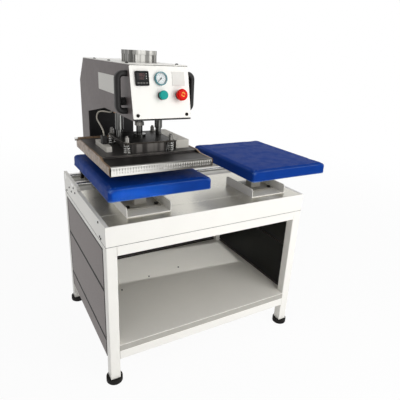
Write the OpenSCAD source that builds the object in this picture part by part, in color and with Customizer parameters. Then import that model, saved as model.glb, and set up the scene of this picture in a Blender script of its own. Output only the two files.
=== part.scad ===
// Double-station pneumatic heat press on a shelf stand.
// X runs along the guide shafts, Y from the operator to the back, Z up.
// The origin lies on the floor, in the middle of the space the press covers.

/* [Stand] */
// Width of the stand over its legs
stand_w = 1000; // [960:5:1060]
// Depth of the stand over its legs
stand_d = 734; // [720:2:780]
// Height of the stand's top rails
stand_h = 679; // [600:1:760]
// Shift of the stand to the left of the middle between the tables
stand_shift = 13; // [0:1:16]
// Side of the square tube
tube_w = 45; // [40:1:50]
// Wall of the square tube
tube_wall = 2; // [1.5:0.5:3]
// Rubber around the corners of a leg
foot_wall = 4; // [3:0.5:8]
// Height of a rubber foot
foot_h = 26; // [20:1:40]
// Depth of the socket that a leg stands in
foot_socket = 13; // [8:1:16]
// Height of the bottom rails' underside
rail_z = 123; // [80:1:160]
// Height of the shelf above the bottom rails
shelf_rise = 32; // [20:1:60]
// Thickness of a panel board
board_t = 18; // [12:1:22]
// Open joint between two panel boards
board_gap = 8; // [4:1:12]
// Height of the lower board joint above the bottom rails' underside
lower_joint = 88; // [60:1:120]
// Height of the upper board joint above the bottom rails' underside
upper_joint = 336; // [250:1:380]

/* [Base] */
// Height of the base box on the stand
base_h = 86; // [80:1:110]
// Thickness of the painted sheet
sheet_t = 3; // [2:0.5:4]
// Thickness of the end plates
end_t = 15; // [12:1:20]
// Height of the end plates' rear part above the deck
end_rise = 17; // [14:1:24]
// Cover of an end plate over its shaft bore
end_land = 5; // [3:0.5:8]
// Depth of the brushed deck from the front edge
deck_d = 442; // [420:1:460]
// Diameter of a guide shaft
shaft_d = 25; // [20:1:28]
// Distance between the guide shafts
shaft_pitch = 150; // [140:1:160]
// Distance from the rear shaft to the back of the stand
shaft_back = 38; // [36:1:42]
// Side of a square bearing block
bearing_w = 50; // [44:1:54]
// Length of a bearing block
bearing_l = 60; // [40:1:80]

/* [Tables] */
// Distance of a table's centre from the end of the stand
station_inset = 190; // [180:1:200]
// Width of a padded table
table_w = 420; // [400:1:440]
// Depth of a padded table
table_d = 530; // [520:1:545]
// Thickness of a padded table
table_t = 52; // [40:1:60]
// Reach of the tables in front of the stand
table_overhang = 83; // [60:1:110]
// Height of the tables' underside above the deck
table_rise = 128; // [110:1:150]
// Width of a table bracket
bracket_w = 198; // [180:1:220]
// Depth of a table bracket
bracket_d = 226; // [180:1:240]
// Height of a bracket's side walls
bracket_h = 42; // [30:1:55]
// Wall of a table bracket
bracket_t = 4; // [3:0.5:6]

/* [Platen] */
// Width of the heated platen
platen_w = 408; // [390:1:410]
// Depth of the heated platen
platen_d = 474; // [460:1:490]
// Thickness of the heated platen
platen_t = 30; // [24:1:36]
// Middle of the platen in front of the table's middle
platen_lead = 13; // [5:1:16]
// Open gap between pad and platen
press_gap = 39; // [34:1:46]
// Height of a suspension spring
spring_h = 34; // [30:1:40]
// Wire of a suspension spring
spring_wire = 3.6; // [3:0.1:4.2]
// Curls of a suspension spring
spring_curls = 5; // [4:1:6]
// Side spacing of the suspension springs
spring_x = 181; // [176:1:190]
// Front-to-back spacing of the suspension springs
spring_y = 186; // [180:1:196]
// Diameter of a guide rod
guide_d = 24; // [20:1:26]
// Spacing of the guide rods
guide_pitch = 168; // [160:1:168]
// Diameter of the piston rod
piston_rod_d = 26; // [22:1:30]

/* [Head] */
// Rest of the head to the right of the left table's middle
head_rest = 7; // [0:1:12]
// Width of the head over its side covers
head_w = 221; // [219:1:230]
// Height of the arm from its underside to the top
head_h = 184; // [176:1:196]
// Height of the arm's underside above the carrier plate
arm_gap = 102; // [90:1:120]
// Depth of the column at the back
column_d = 131; // [110:1:140]
// Distance from the column's back to the back of the stand
column_back = 53; // [40:1:60]
// Drop of the throat towards the column
throat_drop = 51; // [30:1:60]
// Height of the sloping back corner
knee_drop = 103; // [80:1:120]
// Depth of the sloping back corner
knee_run = 82; // [60:1:100]
// Lean of the control panel
panel_lean = 13; // [8:1:16]
// Reach of the panel's foot in front of the table's middle
panel_reach = 234; // [226:1:240]
// Column and row pitch of the panel's fittings
panel_pitch = 69; // [66:1:70]
// Side of the square air cylinder
cylinder_w = 108; // [98:1:114]
// Height of the air cylinder above the top cover
cylinder_rise = 43; // [30:1:60]
// Bore of the air cylinder
cylinder_bore = 80; // [70:1:80]
// Height of a push handle
handle_h = 146; // [130:1:150]
// Depth of a push handle
handle_d = 42; // [42:1:52]

/* [Hidden] */
$fn = 48;
// Running clearance of a shaft in its bearing
running = 0.05;
// Loose clearance of a fastener or stem in its hole
loose = 0.3;
// Thickness of the head's steel covers
cover_t = 2.5;
// Thickness of the head's inner frame plates
frame_t = 6;

// Reach of the feet past the legs
foot_d = (tube_w + 2 * loose) * sqrt(2) + 2 * foot_wall;
foot_out = (foot_d - tube_w) / 2;

// Places along Y, with the tables' front and the rear feet equally far from the origin
stand_y = (table_overhang - foot_out) / 2;
stand_front = stand_y - stand_d / 2;
stand_rear = stand_y + stand_d / 2;
table_y = stand_front - table_overhang + table_d / 2;
deck_rear = stand_front + deck_d;
rear_shaft_y = stand_rear - shaft_back;
front_shaft_y = rear_shaft_y - shaft_pitch;
column_rear = stand_rear - column_back;
throat_y = column_rear - column_d;

// Places along X, with both ends of the press equally far from the origin
station_pitch = stand_w - 2 * station_inset;
tables_half = (station_pitch + table_w) / 2;
stand_half = stand_w / 2 + foot_out;
left_reach = max(tables_half, stand_half + stand_shift);
right_reach = max(tables_half, stand_half - stand_shift);
tables_x = (left_reach - right_reach) / 2;
stand_x = tables_x - stand_shift;
station_x = tables_x - station_pitch / 2;
head_x = station_x + head_rest;
leg_x = stand_w / 2 - tube_w / 2;
leg_y = stand_d / 2 - tube_w / 2;
inner_x = stand_w / 2 - tube_w;
inner_y = stand_d / 2 - tube_w;
end_x = stand_w / 2 - end_t;
head_half = head_w / 2;
frame_half = head_half - cover_t;
bay_half = frame_half - frame_t;

// Heights
leg_z = foot_h - foot_socket;
rail_top = rail_z + tube_w;
deck_z = stand_h + base_h;
shaft_z = deck_z + end_rise - end_land - shaft_d / 2;
carriage_z = shaft_z + bearing_w / 2;
carriage_t = 12;
head_foot = carriage_z + carriage_t;
pad_z = deck_z + table_rise;
pad_top = pad_z + table_t;
sheet_film = 1;
platen_z = pad_top + press_gap + sheet_film;
platen_top = platen_z + platen_t;
lid_t = 8;
lid_top = platen_top + lid_t;
bolt_foot_t = 3;
carrier_t = 6;
carrier_z = lid_top + bolt_foot_t + spring_h;
carrier_top = carrier_z + carrier_t;
arm_z = carrier_top + arm_gap;
head_top = arm_z + head_h;
cylinder_plate_t = 16;
cylinder_z = arm_z + sheet_t + cylinder_plate_t;
cylinder_top = head_top + cylinder_rise;
cylinder_cap_t = 15;

// Control panel: its outer face passes through this foot point
panel_t = 3;
panel_foot_y = table_y - panel_reach;
panel_foot_z = arm_z + 6;
panel_h = (head_top - 4 - panel_foot_z) / cos(panel_lean);
function panel_face_y(z) = panel_foot_y + (z - panel_foot_z) * tan(panel_lean);
function behind_panel_y(z) = panel_face_y(z) + panel_t / cos(panel_lean);
// Rows of fittings, measured up the panel from its middle
top_row = 46;
button_row = -11;
screw_row = -panel_h / 2 + 12;
// Distance of the panel's screws from its sides
panel_screw_in = 17;

// Points of an arc in the plane
function arc(centre, r, from, to, steps = 8) =
    [for (i = [0:steps])
        let (a = from + (to - from) * i / steps)
        centre + r * [cos(a), sin(a)]];

// Rectangle with round corners, centred
module round_rect(w, d, r) {
    square([w - 2 * r, d], center = true);
    square([w, d - 2 * r], center = true);
    for (sx = [-1, 1], sy = [-1, 1])
        translate([sx * (w / 2 - r), sy * (d / 2 - r)])
            circle(r);
}

// Block with round upright edges, standing on Z = 0
module round_block(w, d, h, r) {
    linear_extrude(h)
        round_rect(w, d, r);
}

// Square or flat tube along Z
module tube_z(w, d, h) {
    outer_r = 4;
    linear_extrude(h)
        difference() {
            round_rect(w, d, outer_r);
            round_rect(w - 2 * tube_wall, d - 2 * tube_wall, outer_r - tube_wall / 2);
        }
}

// Tube along X, centred on its length
module tube_x(w, h, l) {
    rotate([0, 90, 0])
        translate([0, 0, -l / 2])
            tube_z(h, w, l);
}

// Tube along Y, centred on its length
module tube_y(w, h, l) {
    rotate([90, 0, 0])
        translate([0, 0, -l / 2])
            tube_z(w, h, l);
}

// Box between two opposite corners
module box(low, high) {
    translate(low)
        cube(high - low);
}

// Hollow round bar from Z = 0 upwards
module ring(outer_d, inner_d, h) {
    difference() {
        cylinder(d = outer_d, h = h);
        translate([0, 0, -1])
            cylinder(d = inner_d, h = h + 2);
    }
}

// Low domed screw head with its shank pointing down
module dome_screw(head_d, head_h, shank_d, shank_l) {
    rim = head_h / 3;
    rotate_extrude()
        polygon(concat([[0, 0], [head_d / 2, 0], [head_d / 2, rim]],
                       [for (i = [1:5]) [head_d / 2 * cos(15 * i), rim + (head_h - rim) * sin(15 * i)]],
                       [[0, head_h]]));
    translate([0, 0, -shank_l])
        cylinder(d = shank_d, h = shank_l);
}

// Both ends of the stand or of the head, the second one mirrored
module both_sides() {
    for (side = [0, 1])
        mirror([side, 0, 0])
            children();
}

// Children placed at both table stations
module at_stations() {
    for (x = [station_x, station_x + station_pitch])
        translate([x, table_y, 0])
            children();
}

// Children placed on the head at the left station, with Y kept as in the frame
module on_head() {
    translate([head_x, 0, 0])
        children();
}

// Children placed around the piston rod
module on_piston() {
    translate([head_x, table_y, 0])
        children();
}

// Children placed over the middle of the platen
module on_platen() {
    translate([head_x, table_y - platen_lead, 0])
        children();
}

// Children placed on the panel's outer face: X across, Y up the panel, Z outwards
module on_panel(across = 0, up = 0) {
    middle_z = panel_foot_z + panel_h / 2 * cos(panel_lean);
    translate([head_x, panel_face_y(middle_z), middle_z])
        rotate([90 - panel_lean, 0, 0])
            translate([across, up, 0])
                children();
}

// Stand

module stand_legs() {
    color("white")
        for (sx = [-1, 1], sy = [-1, 1])
            translate([stand_x + sx * leg_x, stand_y + sy * leg_y, leg_z])
                tube_z(tube_w, tube_w, stand_h - leg_z);
}

// Top rails all round, a full bottom rail in front and slim ones behind the boards
module stand_rails() {
    slim_w = tube_w - board_t;
    slim_out = board_t + slim_w / 2;
    color("white")
        translate([stand_x, stand_y, 0]) {
            for (sy = [-1, 1])
                translate([0, sy * leg_y, stand_h - tube_w / 2])
                    tube_x(tube_w, tube_w, 2 * inner_x);
            for (sx = [-1, 1]) {
                translate([sx * leg_x, 0, stand_h - tube_w / 2])
                    tube_y(tube_w, tube_w, 2 * inner_y);
                translate([sx * (stand_w / 2 - slim_out), 0, rail_z + tube_w / 2])
                    tube_y(slim_w, tube_w, 2 * inner_y);
            }
            translate([0, -leg_y, rail_z + tube_w / 2])
                tube_x(tube_w, tube_w, 2 * inner_x);
            translate([0, stand_d / 2 - slim_out, rail_z + tube_w / 2])
                tube_x(slim_w, tube_w, 2 * inner_x);
        }
}

// Round rubber cups with a square socket for the leg
module feet() {
    edge = 4;
    r = foot_d / 2;
    color("#15161a")
        for (sx = [-1, 1], sy = [-1, 1])
            translate([stand_x + sx * leg_x, stand_y + sy * leg_y, 0])
                difference() {
                    rotate_extrude()
                        polygon(concat([[0, 0]],
                                       arc([r - edge, edge], edge, -90, 0),
                                       [[r, foot_h - edge / 2], [r - edge / 4, foot_h], [0, foot_h]]));
                    translate([0, 0, leg_z + foot_h / 2])
                        cube([tube_w + 2 * loose, tube_w + 2 * loose, foot_h], center = true);
                }
}

// Lower and upper edges of the three boards that close a side
function board_edges() = [
    [rail_z, rail_z + lower_joint - board_gap / 2],
    [rail_z + lower_joint + board_gap / 2, rail_z + upper_joint - board_gap / 2],
    [rail_z + upper_joint + board_gap / 2, stand_h - tube_w]
];

module panel_boards() {
    color("#7d7674")
        translate([stand_x, stand_y, 0])
            for (edges = board_edges()) {
                both_sides()
                    box([stand_w / 2 - board_t, -inner_y, edges[0]], [stand_w / 2, inner_y, edges[1]]);
                box([-inner_x, stand_d / 2 - board_t, edges[0]], [inner_x, stand_d / 2, edges[1]]);
            }
}

// Plan of the shelf between the legs and the boards, drawn in by an inset
module shelf_plan(inset) {
    front = -stand_d / 2 + inset;
    back = stand_d / 2 - board_t - inset;
    half = inner_x - inset;
    side_half = stand_w / 2 - board_t - inset;
    translate([-half, front])
        square([2 * half, back - front]);
    translate([-side_half, -inner_y + inset])
        square([2 * side_half, 2 * (inner_y - inset)]);
}

module shelf() {
    color("#a8a59d")
        translate([stand_x, stand_y, rail_top])
            difference() {
                linear_extrude(shelf_rise)
                    shelf_plan(0);
                translate([0, 0, -1])
                    linear_extrude(shelf_rise - sheet_t + 1)
                        shelf_plan(sheet_t);
            }
}

// Base

module base_skirt() {
    color("white")
        for (front = [stand_front, stand_rear - sheet_t])
            box([stand_x - stand_w / 2, front, stand_h], [stand_x + stand_w / 2, front + sheet_t, deck_z]);
}

// Places of the screws on an end plate: along Y, and above the stand
screw_d = 5;
screw_edge = 15;
front_screws = 80;
middle_screw = 165;
rear_screw = 55;
function end_screws() = [
    [stand_front + front_screws, screw_edge],
    [stand_front + front_screws + screw_edge, base_h - screw_edge],
    [stand_rear - middle_screw, base_h / 2],
    [stand_rear - rear_screw, screw_edge]
];

module end_plates() {
    color("white")
        translate([stand_x, 0, 0])
            both_sides()
                difference() {
                    union() {
                        box([end_x, stand_front + sheet_t, stand_h],
                            [stand_w / 2, stand_rear - sheet_t, deck_z]);
                        box([end_x, deck_rear, deck_z - 1],
                            [stand_w / 2, stand_rear - sheet_t, deck_z + end_rise]);
                    }
                    for (y = [front_shaft_y, rear_shaft_y])
                        translate([end_x - 1, y, shaft_z])
                            rotate([0, 90, 0])
                                cylinder(d = shaft_d + 2 * running, h = end_t + 2);
                    for (place = end_screws())
                        translate([end_x - 1, place[0], stand_h + place[1]])
                            rotate([0, 90, 0])
                                cylinder(d = screw_d + 2 * loose, h = end_t + 2);
                }
}

module base_screws() {
    head_d = 10;
    head_h = 3;
    color("#55565a")
        translate([stand_x, 0, 0])
            both_sides()
                for (place = end_screws())
                    translate([stand_w / 2, place[0], stand_h + place[1]])
                        rotate([0, 90, 0])
                            dome_screw(head_d, head_h, screw_d, end_t - head_h);
}

// Three flat tubes under the deck; the last one closes its rear edge
beam_w = 40;
middle_beam = 82;
function beam_places() = [stand_front + beam_w, table_y + middle_beam, deck_rear - beam_w / 2];

module deck_beams() {
    color("#d8d8d4")
        for (y = beam_places())
            translate([stand_x, y, (stand_h + deck_z - sheet_t) / 2])
                tube_x(beam_w, base_h - sheet_t, 2 * end_x);
}

// Fasteners of a table post, measured from the table centre
bolt_d = 10;
bolt_x = 64;
bolt_y = 46;

module post_bolt_holes(z, h) {
    for (sx = [-1, 1], sy = [-1, 1])
        translate([sx * bolt_x, sy * bolt_y, z - 1])
            cylinder(d = bolt_d + 2 * loose, h = h + 2);
}

// Brushed sheet with a shallow joint line near the front
module deck_plate() {
    joint_back = 112;
    joint_y = stand_front + joint_back;
    joint_w = 1.2;
    joint_depth = 0.8;
    color("#a5a49e")
        difference() {
            box([stand_x - end_x, stand_front + sheet_t, deck_z - sheet_t],
                [stand_x + end_x, deck_rear, deck_z]);
            at_stations()
                post_bolt_holes(deck_z - sheet_t, sheet_t);
            box([stand_x - stand_w, joint_y, deck_z - joint_depth],
                [stand_x + stand_w, joint_y + joint_w, deck_z + 1]);
        }
}

// Painted pan under the shafts, folded down in front and behind
module rear_tray() {
    tray_gap = 4;
    tray_z = shaft_z - bearing_w / 2 - tray_gap;
    color("white")
        difference() {
            box([stand_x - end_x, deck_rear, stand_h], [stand_x + end_x, stand_rear - sheet_t, tray_z]);
            box([stand_x - stand_w, deck_rear + sheet_t, stand_h - 1],
                [stand_x + stand_w, stand_rear - 2 * sheet_t, tray_z - sheet_t]);
        }
}

module guide_shafts() {
    color("#c9ccd0")
        for (y = [front_shaft_y, rear_shaft_y])
            translate([stand_x - stand_w / 2, y, shaft_z])
                rotate([0, 90, 0])
                    cylinder(d = shaft_d, h = stand_w);
}

// Clamped rings on the rear shaft that end the head's travel
module stop_collars() {
    collar_w = 14;
    collar_wall = 9;
    collar_d = shaft_d + 2 * collar_wall;
    stop_gap = 1;
    color("#303236")
        translate([tables_x, rear_shaft_y, shaft_z])
            both_sides()
                translate([station_pitch / 2 + head_half + stop_gap, 0, 0])
                    rotate([0, 90, 0])
                        ring(collar_d, shaft_d + 2 * running, collar_w);
}

// Tables

// Channel with its open end towards the operator
module table_brackets() {
    bracket_back = 55;
    corner_cut = 12;
    color("#d9d9d5")
        at_stations()
            difference() {
                translate([0, stand_front + bracket_back + bracket_d / 2 - table_y, deck_z])
                    difference() {
                        round_block(bracket_w, bracket_d, bracket_h, bracket_t / 2);
                        translate([-bracket_w / 2 + bracket_t, -bracket_d, bracket_t])
                            cube([bracket_w - 2 * bracket_t, 2 * bracket_d, bracket_h]);
                        for (sy = [-1, 1])
                            translate([0, sy * bracket_d / 2, bracket_h])
                                rotate([45, 0, 0])
                                    cube([2 * bracket_w, corner_cut, corner_cut], center = true);
                    }
                post_bolt_holes(deck_z, bracket_t);
            }
}

// Welded post: foot flange, box and the plate that carries the pad
flange_t = 6;
module table_posts() {
    flange_z = deck_z + bracket_t;
    flange_edge = 17;
    post_w = 60;
    post_d = 50;
    carry_t = 8;
    carry_in = 60;
    corner_r = 6;
    sunk = 0.5;
    color("#6a6b6d")
        at_stations() {
            difference() {
                translate([0, 0, flange_z])
                    round_block(2 * (bolt_x + flange_edge), 2 * (bolt_y + flange_edge), flange_t, corner_r);
                post_bolt_holes(flange_z, flange_t);
            }
            translate([0, 0, flange_z + flange_t - sunk])
                round_block(post_w, post_d, pad_z - carry_t - flange_z - flange_t + 2 * sunk, corner_r);
            translate([0, 0, pad_z - carry_t])
                round_block(table_w - 2 * carry_in, table_d - 2 * carry_in, carry_t, 2 * corner_r);
        }
}

// Hexagon bolts that clamp post, bracket and deck, each with its nut
module post_bolts() {
    across = bolt_d * 1.85;
    head_h = bolt_d * 0.65;
    nut_h = bolt_d * 0.8;
    thread_end = 3;
    grip = flange_t + bracket_t + sheet_t;
    color("#3a3b3e")
        at_stations()
            for (sx = [-1, 1], sy = [-1, 1])
                translate([sx * bolt_x, sy * bolt_y, deck_z - sheet_t]) {
                    translate([0, 0, grip])
                        cylinder(d = across, h = head_h, $fn = 6);
                    translate([0, 0, -nut_h - thread_end])
                        cylinder(d = bolt_d, h = grip + nut_h + thread_end + 1);
                    translate([0, 0, -nut_h])
                        cylinder(d = across, h = nut_h, $fn = 6);
                }
}

// Padded table: a crowned slab whose sides draw in between its corners.
// A ring is the rounded outline at one inset and height.
pad_corner = 13;
pad_crown = 2;
pad_draw = 2.5;
pad_roll = 11;
pad_arc_steps = 5;
pad_edge_steps = 6;

// Outline points of one quarter turn: half of each straight edge and the corner between
function pad_quarter(w, d, r) = concat(
    [for (i = [0:pad_edge_steps - 1]) [w / 2, (d / 2 - r) * i / pad_edge_steps]],
    arc([w / 2 - r, d / 2 - r], r, 0, 90, pad_arc_steps),
    [for (i = [1:pad_edge_steps - 1]) [(w / 2 - r) * (1 - i / pad_edge_steps), d / 2]]
);

// Points turned by a number of quarter turns
function turned(points, quarters) = quarters == 0
    ? points
    : turned([for (p = points) [-p[1], p[0]]], quarters - 1);

// Sides move in most half way between two corners
function drawn_in(p, w, d) = [
    p[0] - sign(p[0]) * pad_draw * (1 - pow(2 * p[1] / d, 2)) * pow(2 * p[0] / w, 8),
    p[1] - sign(p[1]) * pad_draw * (1 - pow(2 * p[0] / w, 2)) * pow(2 * p[1] / d, 8)
];

function pad_ring(inset, shrink, z) =
    let (w = table_w - 2 * inset, d = table_d - 2 * inset, r = max(pad_corner - inset, 4))
    let (quarter = pad_quarter(w, d, r), side = pad_quarter(d, w, r))
    let (loop = concat(quarter, turned(side, 1), turned(quarter, 2), turned(side, 3)))
    [for (p = loop) let (q = drawn_in(p, w, d)) [q[0] * shrink, q[1] * shrink, z]];

module pad_form() {
    roll_steps = 4;
    shoulder = table_t - pad_crown;
    crown_shares = [0.9, 0.72, 0.5, 0.25];
    lower = [for (i = [0:roll_steps])
        pad_ring(pad_roll * (1 - sin(90 * i / roll_steps)), 1, pad_roll * (1 - cos(90 * i / roll_steps)))];
    upper = [for (i = [0:roll_steps])
        pad_ring(pad_roll * (1 - cos(90 * i / roll_steps)), 1,
                 shoulder - pad_roll * (1 - sin(90 * i / roll_steps)))];
    crown = [for (s = crown_shares) pad_ring(pad_roll, s, shoulder + pad_crown * (1 - s * s))];
    rings = concat(lower, upper, crown);
    n = len(rings[0]);
    last = len(rings) - 1;
    points = concat([for (ring = rings, p = ring) p], [[0, 0, 0], [0, 0, table_t]]);
    foot = len(points) - 2;
    peak = len(points) - 1;
    faces = concat(
        [for (k = [0:last - 1], i = [0:n - 1]) [k * n + i, (k + 1) * n + (i + 1) % n, k * n + (i + 1) % n]],
        [for (k = [0:last - 1], i = [0:n - 1]) [k * n + i, (k + 1) * n + i, (k + 1) * n + (i + 1) % n]],
        [for (i = [0:n - 1]) [foot, i, (i + 1) % n]],
        [for (i = [0:n - 1]) [peak, last * n + (i + 1) % n, last * n + i]]
    );
    polyhedron(points, faces);
}

module left_pad() {
    color("#2c4593")
        translate([station_x, table_y, pad_z])
            pad_form();
}

module right_pad() {
    color("#2c4593")
        translate([station_x + station_pitch, table_y, pad_z])
            pad_form();
}

// Head: carriage and frame

module carriage_plate() {
    edge = 3;
    color("#5b5a5c")
        on_head()
            box([-head_half, front_shaft_y - bearing_w / 2 - edge, carriage_z],
                [head_half, rear_shaft_y + bearing_w / 2 + edge, head_foot]);
}

module bearing_blocks() {
    color("#9ea1a5")
        on_head()
            for (sx = [-1, 1], y = [front_shaft_y, rear_shaft_y])
                translate([sx * (head_half - bearing_l / 2), y, shaft_z])
                    rotate([0, 90, 0])
                        translate([0, 0, -bearing_l / 2])
                            difference() {
                                round_block(bearing_w, bearing_w, bearing_l, 4);
                                translate([0, 0, -1])
                                    cylinder(d = shaft_d + 2 * running, h = bearing_l + 2);
                            }
}

// Back outline of the head, from the knee to the crest, drawn in by an inset
knee_angle = atan2(knee_drop, knee_run);
function knee_points(inset) = [
    [column_rear - inset, head_top - knee_drop - inset * tan((90 - knee_angle) / 2)],
    [column_rear - knee_run - inset * tan(knee_angle / 2), head_top - inset]
];

// Throat outline from the column's foot to the front of the arm
throat_flat = 103;
throat_flat_y = table_y + throat_flat;
function throat_points(rise) = [
    [throat_y + rise, head_foot],
    [throat_y + rise, arm_z - throat_drop + rise],
    [throat_flat_y, arm_z + rise],
    [behind_panel_y(arm_z + rise), arm_z + rise]
];

// C-shaped side of the head
module side_profile(inset, rise) {
    polygon(concat([[column_rear - inset, head_foot]],
                   knee_points(inset),
                   [[behind_panel_y(head_top - inset), head_top - inset]],
                   [for (i = [3:-1:0]) throat_points(rise)[i]]));
}

// Plate on the left side of the head, from an outer to an inner distance
module side_plate(outer, inner, inset, rise) {
    translate([head_x - outer, 0, 0])
        rotate([90, 0, 90])
            linear_extrude(outer - inner)
                side_profile(inset, rise);
}

module frame_plates() {
    color("#1a1a1c")
        translate([head_x, 0, 0])
            both_sides()
                translate([-head_x, 0, 0])
                    side_plate(frame_half, bay_half, cover_t, 0);
}

module left_side_cover() {
    color("#686362")
        difference() {
            side_plate(head_half, frame_half, cover_t, 0);
            translate([head_x - head_half - 1, knob_y, knob_z])
                rotate([0, 90, 0])
                    cylinder(d = knob_hole_d, h = cover_t + 2);
        }
}

module right_side_cover() {
    color("#686362")
        translate([head_x, 0, 0])
            mirror([1, 0, 0])
                translate([-head_x, 0, 0])
                    side_plate(head_half, frame_half, cover_t, 0);
}

// Bent black sheet that lines the throat and closes the arm from below
cable_d = 6;
bush_wall = 5;
bush_hole_d = guide_d + 2 * bush_wall;
rod_room = 7;
cable_hole_d = cable_d + 4;
module throat_plate() {
    color("#161618")
        difference() {
            translate([head_x - bay_half, 0, 0])
                rotate([90, 0, 90])
                    linear_extrude(2 * bay_half)
                        polygon(concat(throat_points(0), [for (i = [3:-1:0]) throat_points(sheet_t)[i]]));
            on_piston() {
                translate([0, 0, arm_z - 1])
                    cylinder(d = piston_rod_d + 2 * rod_room, h = sheet_t + 2);
                for (sx = [-1, 1])
                    translate([sx * guide_pitch / 2, 0, arm_z - 1])
                        cylinder(d = bush_hole_d + 2 * running, h = sheet_t + 2);
            }
            translate([cable_end[0], cable_end[1], arm_z - 1])
                cylinder(d = cable_hole_d, h = sheet_t + 2);
        }
}

cylinder_hole = cylinder_w + 4;
top_screw_in = 14;
top_screw_front = 60;
top_screw_pitch = 205;
function top_screws() = [for (sx = [-1, 1], i = [0:2])
    [sx * (head_half - top_screw_in), panel_face_y(head_top) + top_screw_front + i * top_screw_pitch]];

module top_cover() {
    color("white")
        difference() {
            translate([head_x, 0, 0])
                box([-head_half, behind_panel_y(head_top), head_top - cover_t],
                    [head_half, knee_points(cover_t)[1][0], head_top]);
            on_piston()
                translate([0, 0, head_top])
                    cube([cylinder_hole, cylinder_hole, 4 * cover_t], center = true);
            on_head()
                for (place = top_screws())
                    translate([place[0], place[1], head_top - 2 * cover_t])
                        cylinder(d = screw_d + 2 * loose, h = 4 * cover_t);
        }
}

// Bent white sheet over the knee and down the back, with the two supply holes
inlet_up = 120;
inlet_z = head_foot + inlet_up;
inlet_x = 45;
gland_d = 20;
inlet_d = 16;
module rear_cover() {
    color("white")
        difference() {
            translate([head_x - head_half, 0, 0])
                rotate([90, 0, 90])
                    linear_extrude(head_w)
                        polygon(concat([[column_rear, head_foot]], knee_points(0),
                                       [knee_points(cover_t)[1], knee_points(cover_t)[0]],
                                       [[column_rear - cover_t, head_foot]]));
            for (place = [[-inlet_x, gland_d], [inlet_x, inlet_d]])
                translate([head_x + place[0], column_rear + 1, inlet_z])
                    rotate([90, 0, 0])
                        cylinder(d = place[1] + 2 * running, h = cover_t + 2);
        }
}

// Head: control panel and its fittings

controller_w = 48;
controller_body = 45;
gauge_d = 46;
gauge_stem_d = 30;
button_hole_d = 22;

module control_panel() {
    color("white")
        difference() {
            on_panel()
                translate([0, 0, -panel_t])
                    round_block(head_w, panel_h, panel_t, 5);
            on_panel(-panel_pitch, top_row)
                cube([controller_body + 2 * loose, controller_body + 2 * loose, 4 * panel_t], center = true);
            on_panel(0, top_row)
                cylinder(d = gauge_stem_d + 2 * loose, h = 4 * panel_t, center = true);
            for (across = [0, panel_pitch])
                on_panel(across, button_row)
                    cylinder(d = button_hole_d + 2 * loose, h = 4 * panel_t, center = true);
            for (sx = [-1, 1])
                on_panel(sx * (head_half - panel_screw_in), screw_row)
                    cylinder(d = screw_d + 2 * loose, h = 4 * panel_t, center = true);
        }
}

// Temperature and time controller: bezel with a sunk window, body behind the panel
module controller() {
    bezel_h = 7;
    window_w = 40;
    window_h = 26;
    window_up = 6;
    window_depth = 1.5;
    body_l = 60;
    corner_r = 3;
    color("#0f1012")
        on_panel(-panel_pitch, top_row) {
            difference() {
                round_block(controller_w, controller_w, bezel_h, corner_r);
                translate([0, window_up, bezel_h - window_depth])
                    round_block(window_w, window_h, 2 * window_depth, corner_r);
            }
            translate([-controller_body / 2, -controller_body / 2, -body_l])
                cube([controller_body, controller_body, body_l + 1]);
        }
}

// Pressure gauge: cup with a dial floor, stem behind the panel
gauge_h = 11;
gauge_cup_d = 40;
gauge_cup_depth = 7;
needle_pin_d = 2;
pin_depth = 3;
module gauge_body() {
    rim = 2;
    stem_l = 25;
    color("#6f9ea4")
        on_panel(0, top_row)
            difference() {
                union() {
                    rotate_extrude()
                        polygon(concat([[0, 0], [gauge_d / 2, 0]],
                                       arc([gauge_d / 2 - rim, gauge_h - rim], rim, 0, 90),
                                       [[0, gauge_h]]));
                    translate([0, 0, -stem_l])
                        cylinder(d = gauge_stem_d, h = stem_l + 1);
                }
                translate([0, 0, gauge_h - gauge_cup_depth])
                    cylinder(d = gauge_cup_d, h = gauge_cup_depth + 1);
                translate([0, 0, gauge_h - gauge_cup_depth - pin_depth])
                    cylinder(d = needle_pin_d + 2 * running, h = pin_depth + 1);
            }
}

module gauge_lens() {
    lens_t = 1.6;
    lens_sunk = 0.4;
    color("#dfe8ea", 0.4)
        on_panel(0, top_row)
            translate([0, 0, gauge_h - lens_t - lens_sunk])
                cylinder(d = gauge_cup_d - 2 * running, h = lens_t);
}

// Needle at the zero mark, low on the left, with a pin in the dial
module gauge_needle() {
    needle_l = 15;
    needle_t = 0.8;
    needle_w = 2.8;
    tip_w = 0.6;
    tail_l = 5;
    hub_d = 5;
    hub_h = 2.4;
    zero_angle = 225;
    half = needle_w / 2;
    color("#101010")
        on_panel(0, top_row)
            translate([0, 0, gauge_h - gauge_cup_depth]) {
                translate([0, 0, loose - pin_depth])
                    cylinder(d = needle_pin_d, h = pin_depth + 1);
                translate([0, 0, loose])
                    cylinder(d = hub_d, h = hub_h);
                translate([0, 0, loose + needle_t])
                    rotate([0, 0, zero_angle])
                        linear_extrude(needle_t)
                            polygon([[-tail_l, -half], [-tail_l, half], [0, half],
                                     [needle_l, tip_w / 2], [needle_l, -tip_w / 2], [0, -half]]);
            }
}

// Bare plates: a square one on the panel and a long one on the left cover
module blank_plates() {
    plate_t = 1.5;
    corner_r = 2;
    long_l = 227;
    long_h = 66;
    long_back = 58;
    long_up = 102;
    color("#d7d4ce") {
        on_panel(panel_pitch, top_row)
            round_block(controller_w, controller_w, plate_t, corner_r);
        translate([head_x - head_half - plate_t, table_y + long_back, arm_z + long_up])
            rotate([90, 0, 90])
                round_block(long_l, long_h, plate_t, corner_r);
    }
}

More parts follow.
